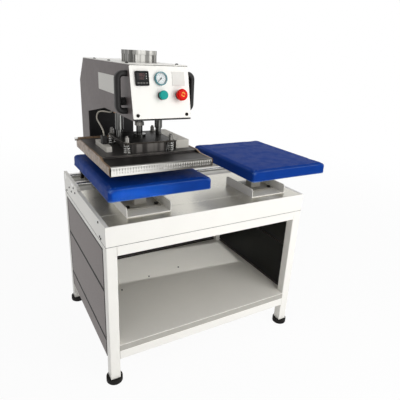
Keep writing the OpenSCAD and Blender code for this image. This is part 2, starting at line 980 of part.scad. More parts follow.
// Push buttons: collar in front of the panel, contact block behind it
collar_h = 8;
start_stem_d = 12;
stop_stem_d = 16;
stem_l = 14;
stem_room = 10;
module button_collar(outer_d, stem_d) {
    block_l = 40;
    edge = 2;
    r = outer_d / 2;
    difference() {
        union() {
            rotate_extrude()
                polygon([[0, 0], [r, 0], [r, collar_h - edge], [r - edge, collar_h], [0, collar_h]]);
            translate([0, 0, -block_l])
                cylinder(d = button_hole_d, h = block_l + 1);
        }
        translate([0, 0, collar_h - stem_l - stem_room])
            cylinder(d = stem_d + 2 * loose, h = stem_l + stem_room + 1);
    }
}

module button_collars() {
    start_collar_d = 29;
    stop_collar_d = 31;
    color("#26282b") {
        on_panel(0, button_row)
            button_collar(start_collar_d, start_stem_d);
        on_panel(panel_pitch, button_row)
            button_collar(stop_collar_d, stop_stem_d);
    }
}

// Button cap with a rounded crown, its stem reaching into the collar
module button_cap(cap_d, cap_h, lift, edge, stem_d) {
    rim = 1;
    crown = 0.6;
    translate([0, 0, collar_h + lift])
        rotate_extrude()
            polygon(concat([[0, 0], [cap_d / 2 - rim, 0], [cap_d / 2, rim]],
                           arc([cap_d / 2 - edge, cap_h - edge], edge, 0, 75),
                           [[0, cap_h + crown]]));
    translate([0, 0, collar_h - stem_l])
        cylinder(d = stem_d, h = stem_l + lift + 1);
}

module start_button() {
    color("#00b9a5")
        on_panel(0, button_row)
            button_cap(cap_d = 31, cap_h = 12, lift = 4.6, edge = 3, stem_d = start_stem_d);
}

module stop_button() {
    color("#e8220f")
        on_panel(panel_pitch, button_row)
            button_cap(cap_d = 40, cap_h = 17, lift = 7, edge = 7, stem_d = stop_stem_d);
}

module cover_screws() {
    head_d = 12;
    head_h = 4;
    shank_l = 6;
    color("#2b2c2f") {
        on_head()
            for (place = top_screws())
                translate([place[0], place[1], head_top])
                    dome_screw(head_d, head_h, screw_d, shank_l);
        for (sx = [-1, 1])
            on_panel(sx * (head_half - panel_screw_in), screw_row)
                dome_screw(head_d, head_h, screw_d, shank_l);
    }
}

// Push handle: two legs, two bends and a grip of one oval section
handle_reach = 165;
handle_up = 89;
handle_y = table_y - handle_reach;
handle_z = arm_z + handle_up;
module push_handle() {
    grip_w = 20;
    grip_d = 28;
    grip_r = 9;
    bend_r = 19;
    grip_out = handle_d - grip_w / 2;
    leg_l = grip_out - bend_r;
    leg_up = handle_h / 2 - grip_w / 2;
    bend_up = leg_up - bend_r;
    color("#141416") {
        translate([-grip_out, 0, -bend_up])
            round_block(grip_w, grip_d, 2 * bend_up, grip_r);
        for (top = [0, 1])
            mirror([0, 0, top]) {
                translate([-leg_l, 0, bend_up])
                    mirror([1, 0, 0])
                        rotate([90, 0, 0])
                            rotate_extrude(angle = 90)
                                translate([bend_r, 0])
                                    round_rect(grip_w, grip_d, grip_r);
                translate([-leg_l, 0, leg_up])
                    rotate([0, 90, 0])
                        round_block(grip_w, grip_d, leg_l, grip_r);
            }
    }
}

module left_handle() {
    translate([head_x - head_half, handle_y, handle_z])
        push_handle();
}

module right_handle() {
    translate([head_x + head_half, handle_y, handle_z])
        mirror([1, 0, 0])
            push_handle();
}

// Fluted knob of the pressure regulator, turning on its spindle in the left cover
knob_back = 14;
knob_down = 32;
knob_y = handle_y + knob_back;
knob_z = handle_z - knob_down;
knob_hole_d = 9;
module regulator_knob() {
    knob_d = 28;
    knob_h = 17;
    knob_gap = 1;
    edge = 3;
    skirt = 4;
    flutes = 12;
    flute_d = 4.4;
    spindle_d = knob_hole_d - 2 * loose;
    r = knob_d / 2;
    color("#121214")
        translate([head_x - head_half - knob_gap, knob_y, knob_z])
            rotate([0, -90, 0]) {
                difference() {
                    rotate_extrude()
                        polygon([[0, 0], [r, 0], [r, knob_h - edge], [r - edge, knob_h], [0, knob_h]]);
                    for (i = [0:flutes - 1])
                        rotate([0, 0, i * 360 / flutes])
                            translate([r + flute_d / 4, 0, skirt])
                                cylinder(d = flute_d, h = knob_h, $fn = 24);
                }
                translate([0, 0, -cover_t - knob_gap])
                    cylinder(d = spindle_d, h = cover_t + 2 * knob_gap);
            }
}

// Head: air drive

module cylinder_plate() {
    plate_d = 150;
    color("#45464a")
        on_piston()
            difference() {
                translate([-bay_half, -plate_d / 2, arm_z + sheet_t])
                    cube([2 * bay_half, plate_d, cylinder_plate_t]);
                translate([0, 0, arm_z])
                    cylinder(d = piston_rod_d + 2 * rod_room, h = 2 * cylinder_plate_t);
                for (sx = [-1, 1])
                    translate([sx * guide_pitch / 2, 0, arm_z])
                        cylinder(d = bush_hole_d + 2 * running, h = 2 * cylinder_plate_t);
            }
}

// Flanged bushes that guide the two rods
module guide_bushes() {
    flange_d = bush_hole_d + 8;
    bush_flange_t = 5;
    bush_l = 60;
    color("#b08d4a")
        on_piston()
            for (sx = [-1, 1])
                translate([sx * guide_pitch / 2, 0, arm_z - bush_flange_t])
                    difference() {
                        union() {
                            cylinder(d = flange_d, h = bush_flange_t);
                            cylinder(d = bush_hole_d, h = bush_l);
                        }
                        translate([0, 0, -1])
                            cylinder(d = guide_d + 2 * running, h = bush_l + 2);
                    }
}

// Extruded section: four round corner lobes joined by sunk flats
module cylinder_section() {
    lobe_r = 12;
    flat_in = 4;
    square(cylinder_w - 2 * flat_in, center = true);
    for (sx = [-1, 1], sy = [-1, 1])
        translate([sx, sy] * (cylinder_w / 2 - lobe_r))
            circle(lobe_r);
}

module cylinder_barrel() {
    color("#c4c6c8")
        on_piston()
            translate([0, 0, cylinder_z + cylinder_cap_t])
                linear_extrude(cylinder_top - cylinder_z - 2 * cylinder_cap_t)
                    difference() {
                        cylinder_section();
                        circle(d = cylinder_bore);
                    }
}

// Lower cap with the rod gland, and upper cap with four sunk screws
module cylinder_caps() {
    socket_d = 11;
    socket_depth = 5;
    corner_r = 10;
    screw_place = cylinder_w / 2 - 12;
    color("#aeb1b4")
        on_piston() {
            difference() {
                translate([0, 0, cylinder_z])
                    round_block(cylinder_w, cylinder_w, cylinder_cap_t, corner_r);
                translate([0, 0, cylinder_z - 1])
                    cylinder(d = piston_rod_d + 2 * running, h = cylinder_cap_t + 2);
            }
            difference() {
                translate([0, 0, cylinder_top - cylinder_cap_t])
                    round_block(cylinder_w, cylinder_w, cylinder_cap_t, corner_r);
                for (sx = [-1, 1], sy = [-1, 1])
                    translate([sx * screw_place, sy * screw_place, cylinder_top - socket_depth])
                        cylinder(d = socket_d, h = socket_depth + 1);
            }
        }
}

// Air valve on the back of the throat plate, with its two coils
module valve_block() {
    back = throat_y + sheet_t;
    valve_w = 80;
    valve_d = 34;
    valve_h = 130;
    valve_down = 60;
    coil_w = 48;
    coil_d = 30;
    coil_edge = 10;
    top = arm_z - throat_drop - valve_down;
    coil_pitch = valve_h / 2;
    color("#7f858c")
        on_head() {
            box([-valve_w / 2, back, top - valve_h], [valve_w / 2, back + valve_d, top]);
            for (i = [0, 1])
                box([-coil_w / 2, back + valve_d, top - (i + 1) * coil_pitch + coil_edge],
                    [coil_w / 2, back + valve_d + coil_d, top - i * coil_pitch - coil_edge]);
        }
}

// Push-in socket for the air hose at the back
air_hose_d = 8;
module air_inlet() {
    nose_l = 16;
    hex_d = 24;
    hex_t = 6;
    inside_l = 12;
    socket_end = 4;
    color("#c2a24d")
        translate([head_x + inlet_x, column_rear, inlet_z])
            rotate([-90, 0, 0])
                difference() {
                    union() {
                        translate([0, 0, -cover_t - inside_l])
                            cylinder(d = inlet_d, h = cover_t + inside_l + 1);
                        cylinder(d = hex_d, h = hex_t, $fn = 6);
                        cylinder(d = inlet_d, h = nose_l);
                    }
                    translate([0, 0, -socket_end])
                        cylinder(d = air_hose_d, h = nose_l + socket_end + 1);
                }
}

// Gland for the mains lead at the back
lead_d = 10;
module mains_gland() {
    dome_l = 18;
    hex_d = 30;
    hex_t = 6;
    inside_l = 10;
    color("#1c1d20")
        translate([head_x - inlet_x, column_rear, inlet_z])
            rotate([-90, 0, 0])
                difference() {
                    union() {
                        translate([0, 0, -cover_t - inside_l])
                            cylinder(d = gland_d, h = cover_t + inside_l + 1);
                        cylinder(d = hex_d, h = hex_t, $fn = 6);
                        cylinder(d = gland_d, h = dome_l);
                    }
                    translate([0, 0, -cover_t - inside_l - 1])
                        cylinder(d = lead_d, h = cover_t + inside_l + dome_l + 2);
                }
}

// Platen group, all moved by the piston rod

module piston_rod() {
    piston_t = 22;
    top_room = 12;
    piston_z = cylinder_top - cylinder_cap_t - top_room - piston_t;
    foot_d = 52;
    foot_t = 10;
    color("#c8cacc")
        on_piston() {
            translate([0, 0, carrier_top])
                cylinder(d = foot_d, h = foot_t);
            translate([0, 0, carrier_top])
                cylinder(d = piston_rod_d, h = piston_z - carrier_top + 1);
            translate([0, 0, piston_z])
                cylinder(d = cylinder_bore - 2 * running, h = piston_t);
        }
}

module guide_rods() {
    rod_over = 120;
    rod_l = arm_gap + rod_over;
    color("#c8cacc")
        on_piston()
            for (sx = [-1, 1])
                translate([sx * guide_pitch / 2, 0, carrier_top])
                    cylinder(d = guide_d, h = rod_l);
}

stud_d = 10;
module carrier_plate() {
    edge = 14;
    corner_r = 6;
    color("#57585b")
        on_platen()
            difference() {
                translate([0, 0, carrier_z])
                    round_block(spring_x + 2 * edge, spring_y + 2 * edge, carrier_t, corner_r);
                for (sx = [-1, 1], sy = [-1, 1])
                    translate([sx * spring_x / 2, sy * spring_y / 2, carrier_z - 1])
                        cylinder(d = stud_d + 2 * loose, h = carrier_t + 2);
            }
}

// Outer width of a spring, from which its neighbours keep away
spring_outer = 27;
module pressure_block() {
    spare = 3;
    corner_r = 2;
    block_w = spring_x - spring_outer - 2 * spare;
    color("#4a4a4c")
        on_platen()
            translate([0, 0, lid_top])
                round_block(block_w, spring_y - 2 * spare, carrier_z - lid_top, corner_r);
}

// Studs with a foot on the lid, and washer and nuts over the carrier plate; and the piston rod's collar
module suspension_bolts() {
    across = stud_d * 1.8;
    washer_d = 22;
    washer_t = 2.5;
    nut_h = 9;
    lock_h = 7;
    nut_gap = 1;
    thread_end = 6;
    rod_collar_h = 14;
    rod_collar_d = piston_rod_d + 12;
    nut_z = carrier_top + washer_t;
    lock_z = nut_z + nut_h + nut_gap;
    color("#d3d4d2") {
        on_platen()
            for (sx = [-1, 1], sy = [-1, 1])
                translate([sx * spring_x / 2, sy * spring_y / 2, 0]) {
                    translate([0, 0, lid_top])
                        cylinder(d = spring_outer, h = bolt_foot_t);
                    translate([0, 0, lid_top])
                        cylinder(d = stud_d, h = lock_z + lock_h + thread_end - lid_top);
                    translate([0, 0, carrier_top])
                        cylinder(d = washer_d, h = washer_t);
                    translate([0, 0, nut_z])
                        cylinder(d = across, h = nut_h, $fn = 6);
                    translate([0, 0, lock_z])
                        cylinder(d = across, h = lock_h, $fn = 6);
                }
        on_piston()
            translate([0, 0, carrier_top + (arm_gap - rod_collar_h) / 2])
                ring(rod_collar_d, piston_rod_d + 2 * running, rod_collar_h);
    }
}

// Wound springs, each one unbroken tube with 8 rings a curl and 6 sides
rings_per_curl = 8;
wire_sides = 6;
coil_r = (spring_outer - spring_wire) / 2;
coil_seat = 0.3;
coil_h = spring_h - spring_wire - 2 * coil_seat;

function coil_point(i, count) =
    let (a = 360 * i / rings_per_curl)
    [coil_r * cos(a), coil_r * sin(a), spring_wire / 2 + coil_seat + coil_h * i / (count - 1)];

function unit(v) = v / norm(v);

// One ring of the wire around a point of the coil
function wire_ring(i, count) =
    let (a = 360 * i / rings_per_curl, rise = coil_h * rings_per_curl / (count - 1))
    let (along = unit([-sin(a) * 2 * PI * coil_r, cos(a) * 2 * PI * coil_r, rise]))
    let (out = [cos(a), sin(a), 0], up = cross(out, along))
    [for (s = [0:wire_sides - 1])
        let (b = 360 * s / wire_sides)
        coil_point(i, count) + spring_wire / 2 * (cos(b) * out + sin(b) * up)];

// Triangles of a closed tube of n rings with m points each
function tube_faces(n, m) =
    let (last = (n - 1) * m)
    concat(
        [for (i = [0:n - 2], s = [0:m - 1]) [i * m + s, (i + 1) * m + s, i * m + (s + 1) % m]],
        [for (i = [0:n - 2], s = [0:m - 1])
            [i * m + (s + 1) % m, (i + 1) * m + s, (i + 1) * m + (s + 1) % m]],
        [for (s = [1:m - 2]) [0, s, s + 1]],
        [for (s = [1:m - 2]) [last, last + s + 1, last + s]]
    );

module coil_spring() {
    count = spring_curls * rings_per_curl + 1;
    points = [for (i = [0:count - 1], p = wire_ring(i, count)) p];
    polyhedron(points, tube_faces(count, wire_sides));
}

// Least gap of a spring to itself, between points over half a curl apart
function spring_self_gap() =
    let (count = spring_curls * rings_per_curl + 1)
    min([for (i = [0:count - 1], j = [i + rings_per_curl / 2:1:count - 1])
        norm(coil_point(i, count) - coil_point(j, count)) - spring_wire]);
echo(spring_self_gap = spring_self_gap());

module suspension_springs() {
    color("#b9bbbd")
        on_platen()
            for (sx = [-1, 1], sy = [-1, 1])
                translate([sx * spring_x / 2, sy * spring_y / 2, lid_top + bolt_foot_t])
                    coil_spring();
}

// Heated aluminium block
platen_corner = 4;
ruler_t = 1.5;
module heating_platen() {
    color("#8f9092")
        on_platen()
            translate([0, 0, platen_z])
                round_block(platen_w, platen_d, platen_t, platen_corner);
}

// Dark insulating lid, set back from the front edge
lid_front = 122;
lid_back = 24;
module platen_lid() {
    side_in = 4;
    color("#2c2a29")
        on_platen()
            translate([0, (lid_front - lid_back) / 2, platen_top])
                round_block(platen_w - 2 * side_in, platen_d - lid_front - lid_back, lid_t, side_in);
}

// Brown release sheet: a thin tray under the platen, open where the ruler sits
module release_sheet() {
    w = platen_w + 2 * sheet_film;
    d = platen_d + 2 * sheet_film;
    color("#6b4a38")
        on_platen()
            difference() {
                translate([0, 0, platen_z - sheet_film])
                    round_block(w, d, platen_t + sheet_film, platen_corner + sheet_film);
                translate([0, 0, platen_z])
                    round_block(platen_w, platen_d, 2 * platen_t, platen_corner);
                translate([0, -platen_d / 2, platen_z + platen_t])
                    cube([2 * w, 2 * platen_corner, 2 * platen_t], center = true);
            }
}

// Round bar that holds the release sheet along the back edge
module sheet_rod() {
    rod_d = 14;
    rod_over = 11;
    rod_l = platen_w + 2 * rod_over;
    color("#9a9a98")
        on_platen()
            translate([-rod_l / 2, platen_d / 2 - lid_back / 2, platen_top + rod_d / 2])
                rotate([0, 90, 0])
                    cylinder(d = rod_d, h = rod_l);
}

// Angle strip along the front edge that carries the scale
module ruler_strip() {
    lip = 12;
    front = -platen_d / 2;
    half = platen_w / 2 - platen_corner;
    color("#dcdcd8")
        on_platen() {
            box([-half, front - ruler_t, platen_z], [half, front, platen_top + ruler_t]);
            box([-half, front - ruler_t, platen_top], [half, front + lip, platen_top + ruler_t]);
        }
}

// White boxes on the lid: the heater terminals and the slim sensor box
sensor_h = 20;
module terminal_boxes() {
    terminal_w = 60;
    terminal_l = 240;
    terminal_h = 33;
    terminal_in = 46;
    terminal_back = 51;
    sensor_w = 24;
    sensor_l = 150;
    sensor_in = 57;
    sensor_back = 25;
    corner_r = 3;
    color("#e9e7e1")
        on_platen() {
            translate([platen_w / 2 - terminal_in, terminal_back, lid_top])
                round_block(terminal_w, terminal_l, terminal_h, corner_r);
            translate([sensor_in - platen_w / 2, sensor_back, lid_top])
                round_block(sensor_w, sensor_l, sensor_h, corner_r);
        }
}

// Black gland block on the sensor box, where the heater cable leaves the platen
cable_block_h = 32;
cable_foot = sensor_h + cable_block_h;
module cable_block() {
    block_w = 20;
    block_l = 30;
    corner_r = 3;
    color("#111113")
        translate([head_x + cable_route[0][0], table_y + cable_route[0][1], lid_top + sensor_h])
            round_block(block_w, block_l, cable_block_h, corner_r);
}

// Heater cable between the platen and the arm, along points chosen by hand.
// Each point gives X from the head's middle, Y from the table's middle and Z above the lid,
// and the heights stretch with the room between the gland block and the arm.
cable_sides = 8;
cable_route = [
    [-147, 2, 52],
    [-147, 4, 61],
    [-147, 12, 70],
    [-147, 25, 77],
    [-147, 41, 83],
    [-146, 58, 88],
    [-145, 76, 92],
    [-144, 94, 96],
    [-142, 110, 101],
    [-139, 122, 108],
    [-135, 127, 117],
    [-130, 124, 125],
    [-124, 115, 129],
    [-117, 103, 131],
    [-110, 91, 131],
    [-104, 81, 131],
    [-99, 72, 131],
    [-95.5, 66, 133],
    [-93, 62, 138],
    [-92, 60, 145],
    [-92, 60, 148]
];
cable_last = cable_route[len(cable_route) - 1];
cable_end = [head_x + cable_last[0], table_y + cable_last[1]];
cable_stretch = (arm_z + sheet_t - lid_top - cable_foot) / (cable_last[2] - cable_foot);

function cable_point(i) =
    let (rise = cable_foot + (cable_route[i][2] - cable_foot) * cable_stretch)
    [head_x + cable_route[i][0], table_y + cable_route[i][1], lid_top + rise];

// Direction of the cable at a point, upright at both ends
function cable_along(i) =
    i == 0 || i == len(cable_route) - 1 ? [0, 0, 1] : unit(cable_point(i + 1) - cable_point(i - 1));

function cable_ring(i) =
    let (along = cable_along(i))
    let (side = unit([1, 0, 0] - (along * [1, 0, 0]) * along), other = cross(along, side))
    [for (s = [0:cable_sides - 1])
        let (a = 360 * s / cable_sides)
        cable_point(i) + cable_d / 2 * (cos(a) * side + sin(a) * other)];

module heater_cable() {
    count = len(cable_route);
    points = [for (i = [0:count - 1], p = cable_ring(i)) p];
    color("#e4e2dc")
        polyhedron(points, tube_faces(count, cable_sides));
}

stand_legs();
stand_rails();
feet();
panel_boards();
shelf();
base_skirt();
end_plates();
base_screws();
deck_beams();
deck_plate();
rear_tray();
guide_shafts();
stop_collars();
table_brackets();
table_posts();
post_bolts();
left_pad();
right_pad();
carriage_plate();
bearing_blocks();
frame_plates();
throat_plate();
left_side_cover();
right_side_cover();
top_cover();
rear_cover();
control_panel();
controller();
gauge_body();
gauge_lens();
gauge_needle();
blank_plates();
button_collars();
start_button();
stop_button();
cover_screws();
left_handle();
right_handle();
regulator_knob();
cylinder_plate();
guide_bushes();
cylinder_barrel();
cylinder_caps();
valve_block();
air_inlet();
mains_gland();
piston_rod();
guide_rods();
carrier_plate();
pressure_block();
suspension_bolts();
suspension_springs();
heating_platen();
platen_lid();
release_sheet();
sheet_rod();
ruler_strip();
terminal_boxes();
cable_block();
heater_cable();
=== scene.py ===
"""Looks of a free-standing heat press with two padded tables and one sliding head.

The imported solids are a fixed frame. The classes below give them their finishes, put cloth, wound wire
and cable in the place of the soft solids, and add thin trim, small screws and the marks of the panel
and of the scale. Lengths are in metres and angles in radians.
"""

import logging
import math
from abc import ABC, abstractmethod
from collections.abc import Sequence
from dataclasses import dataclass
from enum import Enum
from functools import cache
from typing import ClassVar

import bmesh
import bpy
from mathutils import Matrix, Vector


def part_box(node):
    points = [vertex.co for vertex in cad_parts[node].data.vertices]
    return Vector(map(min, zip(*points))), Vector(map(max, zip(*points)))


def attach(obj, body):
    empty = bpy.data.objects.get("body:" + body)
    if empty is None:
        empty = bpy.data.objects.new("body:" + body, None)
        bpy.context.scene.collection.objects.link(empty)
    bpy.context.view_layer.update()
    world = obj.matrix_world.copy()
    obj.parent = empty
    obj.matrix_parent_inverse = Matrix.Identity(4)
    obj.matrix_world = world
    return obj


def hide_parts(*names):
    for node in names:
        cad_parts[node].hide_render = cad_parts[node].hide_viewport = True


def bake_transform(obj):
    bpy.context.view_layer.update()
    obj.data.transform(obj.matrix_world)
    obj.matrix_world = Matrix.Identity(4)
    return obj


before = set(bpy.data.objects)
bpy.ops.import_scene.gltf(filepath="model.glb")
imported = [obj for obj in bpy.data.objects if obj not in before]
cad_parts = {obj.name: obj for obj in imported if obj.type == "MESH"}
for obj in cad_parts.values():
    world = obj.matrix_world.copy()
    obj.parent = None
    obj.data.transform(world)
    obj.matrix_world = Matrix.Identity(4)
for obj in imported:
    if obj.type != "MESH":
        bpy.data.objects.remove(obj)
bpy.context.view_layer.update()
LOG = logging.getLogger("heat_press")

Pair = tuple[float, float]
Spot = tuple[float, float, float]
Colour = tuple[float, float, float]
Outline = Sequence[Pair]
# Clouds to the metre and detail of a noise
Noise = tuple[float, float]

# Places that several groups share
STAND_X = -0.009628
STAND_HALF_WIDTH = 0.5
HEAD_X = -0.299628
PISTON_Y = -0.150372
PLATEN_Y = -0.163372
SCALE_LEFT = -0.499628
SCALE_MARKS = 39
SCALE_STEP = 0.01

WHITE: Colour = (1.0, 1.0, 1.0)
BEVEL_SAMPLES = 6
# Share of the normal that a rounded edge turns away before it counts as a whole edge
EDGE_BEND = 0.16
# Stretch of a noise along the lines of brushed or drawn metal
DRAWN = 0.03


def linear(step: int) -> float:
    """Linear share of one display step from 0 to 255, by the standard curve of a display."""
    share = step / 255
    return share / 12.92 if share <= 0.04045 else ((share + 0.055) / 1.055) ** 2.4


def display(red: int, green: int, blue: int) -> Colour:
    """Linear colour of a display colour in steps of 0 to 255."""
    return (linear(red), linear(green), linear(blue))


def toned(colour: Colour, share: float) -> Colour:
    """The colour made darker or lighter by a share."""
    return tuple(min(1.0, part * share) for part in colour)


# Shader graph


@dataclass(frozen=True)
class Value:
    """One socket of a shader graph, used in Python expressions."""

    graph: "Graph"
    socket: bpy.types.NodeSocket | None

    def math(self, operation: str, other: "Value | float" = 0.0) -> "Value":
        """Result of a Math node with this value as its first operand."""
        return self.graph.math(operation, self, other)

    def __add__(self, other: "Value | float") -> "Value":
        """Sum."""
        return self.math("ADD", other)

    def __radd__(self, other: float) -> "Value":
        """Sum with a number on the left."""
        return self.graph.math("ADD", other, self)

    def __sub__(self, other: "Value | float") -> "Value":
        """Difference."""
        return self.math("SUBTRACT", other)

    def __rsub__(self, other: float) -> "Value":
        """Difference from a number on the left."""
        return self.graph.math("SUBTRACT", other, self)

    def __mul__(self, other: "Value | float") -> "Value":
        """Product."""
        return self.math("MULTIPLY", other)

    def __rmul__(self, other: float) -> "Value":
        """Product with a number on the left."""
        return self.graph.math("MULTIPLY", other, self)

    def __gt__(self, limit: "Value | float") -> "Value":
        """1 where the value is above the limit and 0 elsewhere."""
        return self.math("GREATER_THAN", limit)

    def __lt__(self, limit: "Value | float") -> "Value":
        """1 where the value is below the limit and 0 elsewhere."""
        return self.math("LESS_THAN", limit)

    def larger(self, other: "Value | float") -> "Value":
        """The larger of two values."""
        return self.math("MAXIMUM", other)

    def swing(self, span: float) -> "Value":
        """How far the value departs from a half, scaled so that 0 to 1 gives the span."""
        return (self - 0.5) * span

    def between(self, low: float, high: float) -> "Value":
        """Smooth step from 0 at the low value to 1 at the high one."""
        step = {"interpolation_type": "SMOOTHSTEP"}
        return self.graph.node("ShaderNodeMapRange", step, {"Value": self, "From Min": low, "From Max": high})


Given = Value | float | Colour
Sockets = dict[str | int, Given]


class Graph:
    """Shader nodes of one material or world."""

    def __init__(self, tree: bpy.types.NodeTree) -> None:
        """Starts from an empty tree."""
        self.tree = tree
        self.tree.nodes.clear()

    def node(
        self,
        kind: str,
        settings: dict[str, object] | None = None,
        inputs: Sockets | None = None,
        output: str | int = 0,
    ) -> Value:
        """Adds one node.

        Args:
            kind: Type of the node.
            settings: Properties of the node, set before its sockets.
            inputs: Values or links of its sockets, by name or number.
            output: Socket that the caller goes on with.

        Returns:
            The chosen output, with no socket for an output node.
        """
        made = self.tree.nodes.new(kind)
        for name, setting in (settings or {}).items():
            setattr(made, name, setting)
        for key, given in (inputs or {}).items():
            socket = made.inputs[key]
            if isinstance(given, Value):
                self.tree.links.new(given.socket, socket)
            else:
                socket.default_value = (*given, 1.0) if socket.type == "RGBA" else given
        return Value(self, made.outputs[output] if made.outputs else None)

    def math(self, operation: str, first: Value | float, second: Value | float) -> Value:
        """Result of a Math node."""
        return self.node("ShaderNodeMath", {"operation": operation}, {0: first, 1: second})

    def vector(
        self,
        operation: str,
        first: Value | Spot,
        second: Value | Spot = (0.0, 0.0, 0.0),
        output: str = "Vector",
    ) -> Value:
        """Result of a Vector Math node, at its output Vector or Value."""
        return self.node("ShaderNodeVectorMath", {"operation": operation}, {0: first, 1: second}, output)

    def place(self) -> Value:
        """Place on the piece, in metres of the shared frame."""
        return self.node("ShaderNodeTexCoord", output="Object")

    def geometry(self, output: str = "Normal") -> Value:
        """One output of the surface's geometry, its smooth normal unless another is named."""
        return self.node("ShaderNodeNewGeometry", output=output)

    def part(self, vector: Value, axis: str) -> Value:
        """One of a vector's parts, named X, Y or Z."""
        return self.node("ShaderNodeSeparateXYZ", inputs={0: vector}, output=axis)

    def noise(self, place: Value, clouds: Noise) -> Value:
        """Cloudy noise from 0 to 1."""
        scale, detail = clouds
        return self.node("ShaderNodeTexNoise", inputs={"Vector": place, "Scale": scale, "Detail": detail})

    def mix(self, share: Value | float, first: Value | Colour, second: Value | Colour) -> Value:
        """Colour between two colours, by the share of the second."""
        return self.node("ShaderNodeMix", {"data_type": "RGBA"}, {0: share, 6: first, 7: second}, 2)

    def tones(self, share: Value, colour: Colour, first: float, second: float) -> Value:
        """The colour between two of its tones, by the share of the second."""
        return self.mix(share, toned(colour, first), toned(colour, second))

    def rounded(self, radius: float) -> Value:
        """Normal that rounds the sharp edges to a radius."""
        return self.node("ShaderNodeBevel", {"samples": BEVEL_SAMPLES}, {"Radius": radius})

    def edge(self, radius: float) -> Value:
        """Mask of the sharp edges, 0 on flat faces and up to 1 along an edge."""
        even = self.vector("DOT_PRODUCT", self.rounded(radius), self.geometry(), "Value")
        return (1.0 - even).between(0.0, EDGE_BEND)

    def bump(self, height: Value, depth: float, normal: Value) -> Value:
        """Normal with relief of a depth in metres on another normal."""
        return self.node("ShaderNodeBump", inputs={"Distance": depth, "Height": height, "Normal": normal})

    def seen(self) -> Value:
        """1 for what the camera sees straight on, in a reflection or through glass.

        Returns:
            Mask of those rays.
        """
        rays = ("Is Camera Ray", "Is Glossy Ray", "Is Transmission Ray")
        camera, glossy, through = [self.node("ShaderNodeLightPath", output=ray) for ray in rays]
        return camera.larger(glossy).larger(through)


# Finishes


@dataclass(frozen=True)
class Finish(ABC):
    """Look of one material, made once and shared by its pieces."""

    name: str

    @abstractmethod
    def sockets(self, graph: Graph) -> Sockets:
        """Values and links of the surface shader's sockets."""

    def surface(self, graph: Graph) -> Value:
        """Shader of the surface."""
        return graph.node("ShaderNodeBsdfPrincipled", inputs=self.sockets(graph))

    @cache
    def material(self) -> bpy.types.Material:
        """Material of this finish, made at its first use.

        Returns:
            The material, with its nodes.
        """
        made = bpy.data.materials.new(self.name)
        made.use_nodes = True
        graph = Graph(made.node_tree)
        graph.node("ShaderNodeOutputMaterial", inputs={"Surface": self.surface(graph)})
        return made

    def dress(self, *pieces: bpy.types.Object) -> list[bpy.types.Object]:
        """Gives the pieces this finish all over, and returns them.

        Args:
            pieces: Pieces to dress.

        Returns:
            The same pieces.
        """
        for piece in pieces:
            if not piece.material_slots:
                piece.data.materials.append(None)
            for slot in piece.material_slots:
                slot.material = self.material()
        return list(pieces)

    def dress_nodes(self, *nodes: str) -> list[bpy.types.Object]:
        """Gives the named CAD nodes this finish, and returns them."""
        return self.dress(*(bpy.data.objects[node] for node in nodes))


@dataclass(frozen=True)
class Enamel(Finish):
    """Baked paint on sheet steel: faint clouding, orange peel, and edges where the coat is rubbed thin."""

    colour: Colour
    rubbed: Colour
    roughness: float = 0.36
    edge: float = 0.0012
    specular: float = 0.4
    wear: float = 0.55
    clouds: Noise = (6.0, 4.0)
    cloud_tone: float = 0.94
    cloud_gloss: float = 0.08
    scuffs: Noise = (60.0, 5.0)
    scuff_range: Pair = (0.4, 0.7)
    scuff_gloss: float = 0.14
    peel: Noise = (420.0, 2.0)
    peel_depth: float = 0.00004

    def sockets(self, graph: Graph) -> Sockets:
        """Clouded colour, uneven gloss and a fine peel.

        Args:
            graph: Graph of the material.

        Returns:
            Values and links of the shader's sockets.
        """
        place = graph.place()
        cloud = graph.noise(place, self.clouds)
        scuff = graph.noise(place, self.scuffs)
        peel = graph.noise(place, self.peel)
        worn = graph.edge(self.edge) * scuff.between(*self.scuff_range)
        clean = graph.tones(cloud, self.colour, 1.0, self.cloud_tone)
        return {
            "Base Color": graph.mix(worn * self.wear, clean, self.rubbed),
            "Roughness": self.roughness + scuff.swing(self.scuff_gloss) + cloud.swing(self.cloud_gloss),
            "Specular IOR Level": self.specular,
            "Normal": graph.bump(peel, self.peel_depth, graph.rounded(self.edge)),
        }


class Grain(Enum):
    """Direction in which a metal surface was brushed or drawn, as the stretch of its lines."""

    ALONG_X = (DRAWN, 1.0, 1.0)
    ALONG_Z = (1.0, 1.0, DRAWN)
    EVEN = (0.4, 0.4, 0.4)

    @property
    def end(self) -> Spot:
        """Direction in which the lines end, where a face shows no lines."""
        return tuple(1.0 if part == DRAWN else 0.0 for part in self.value)


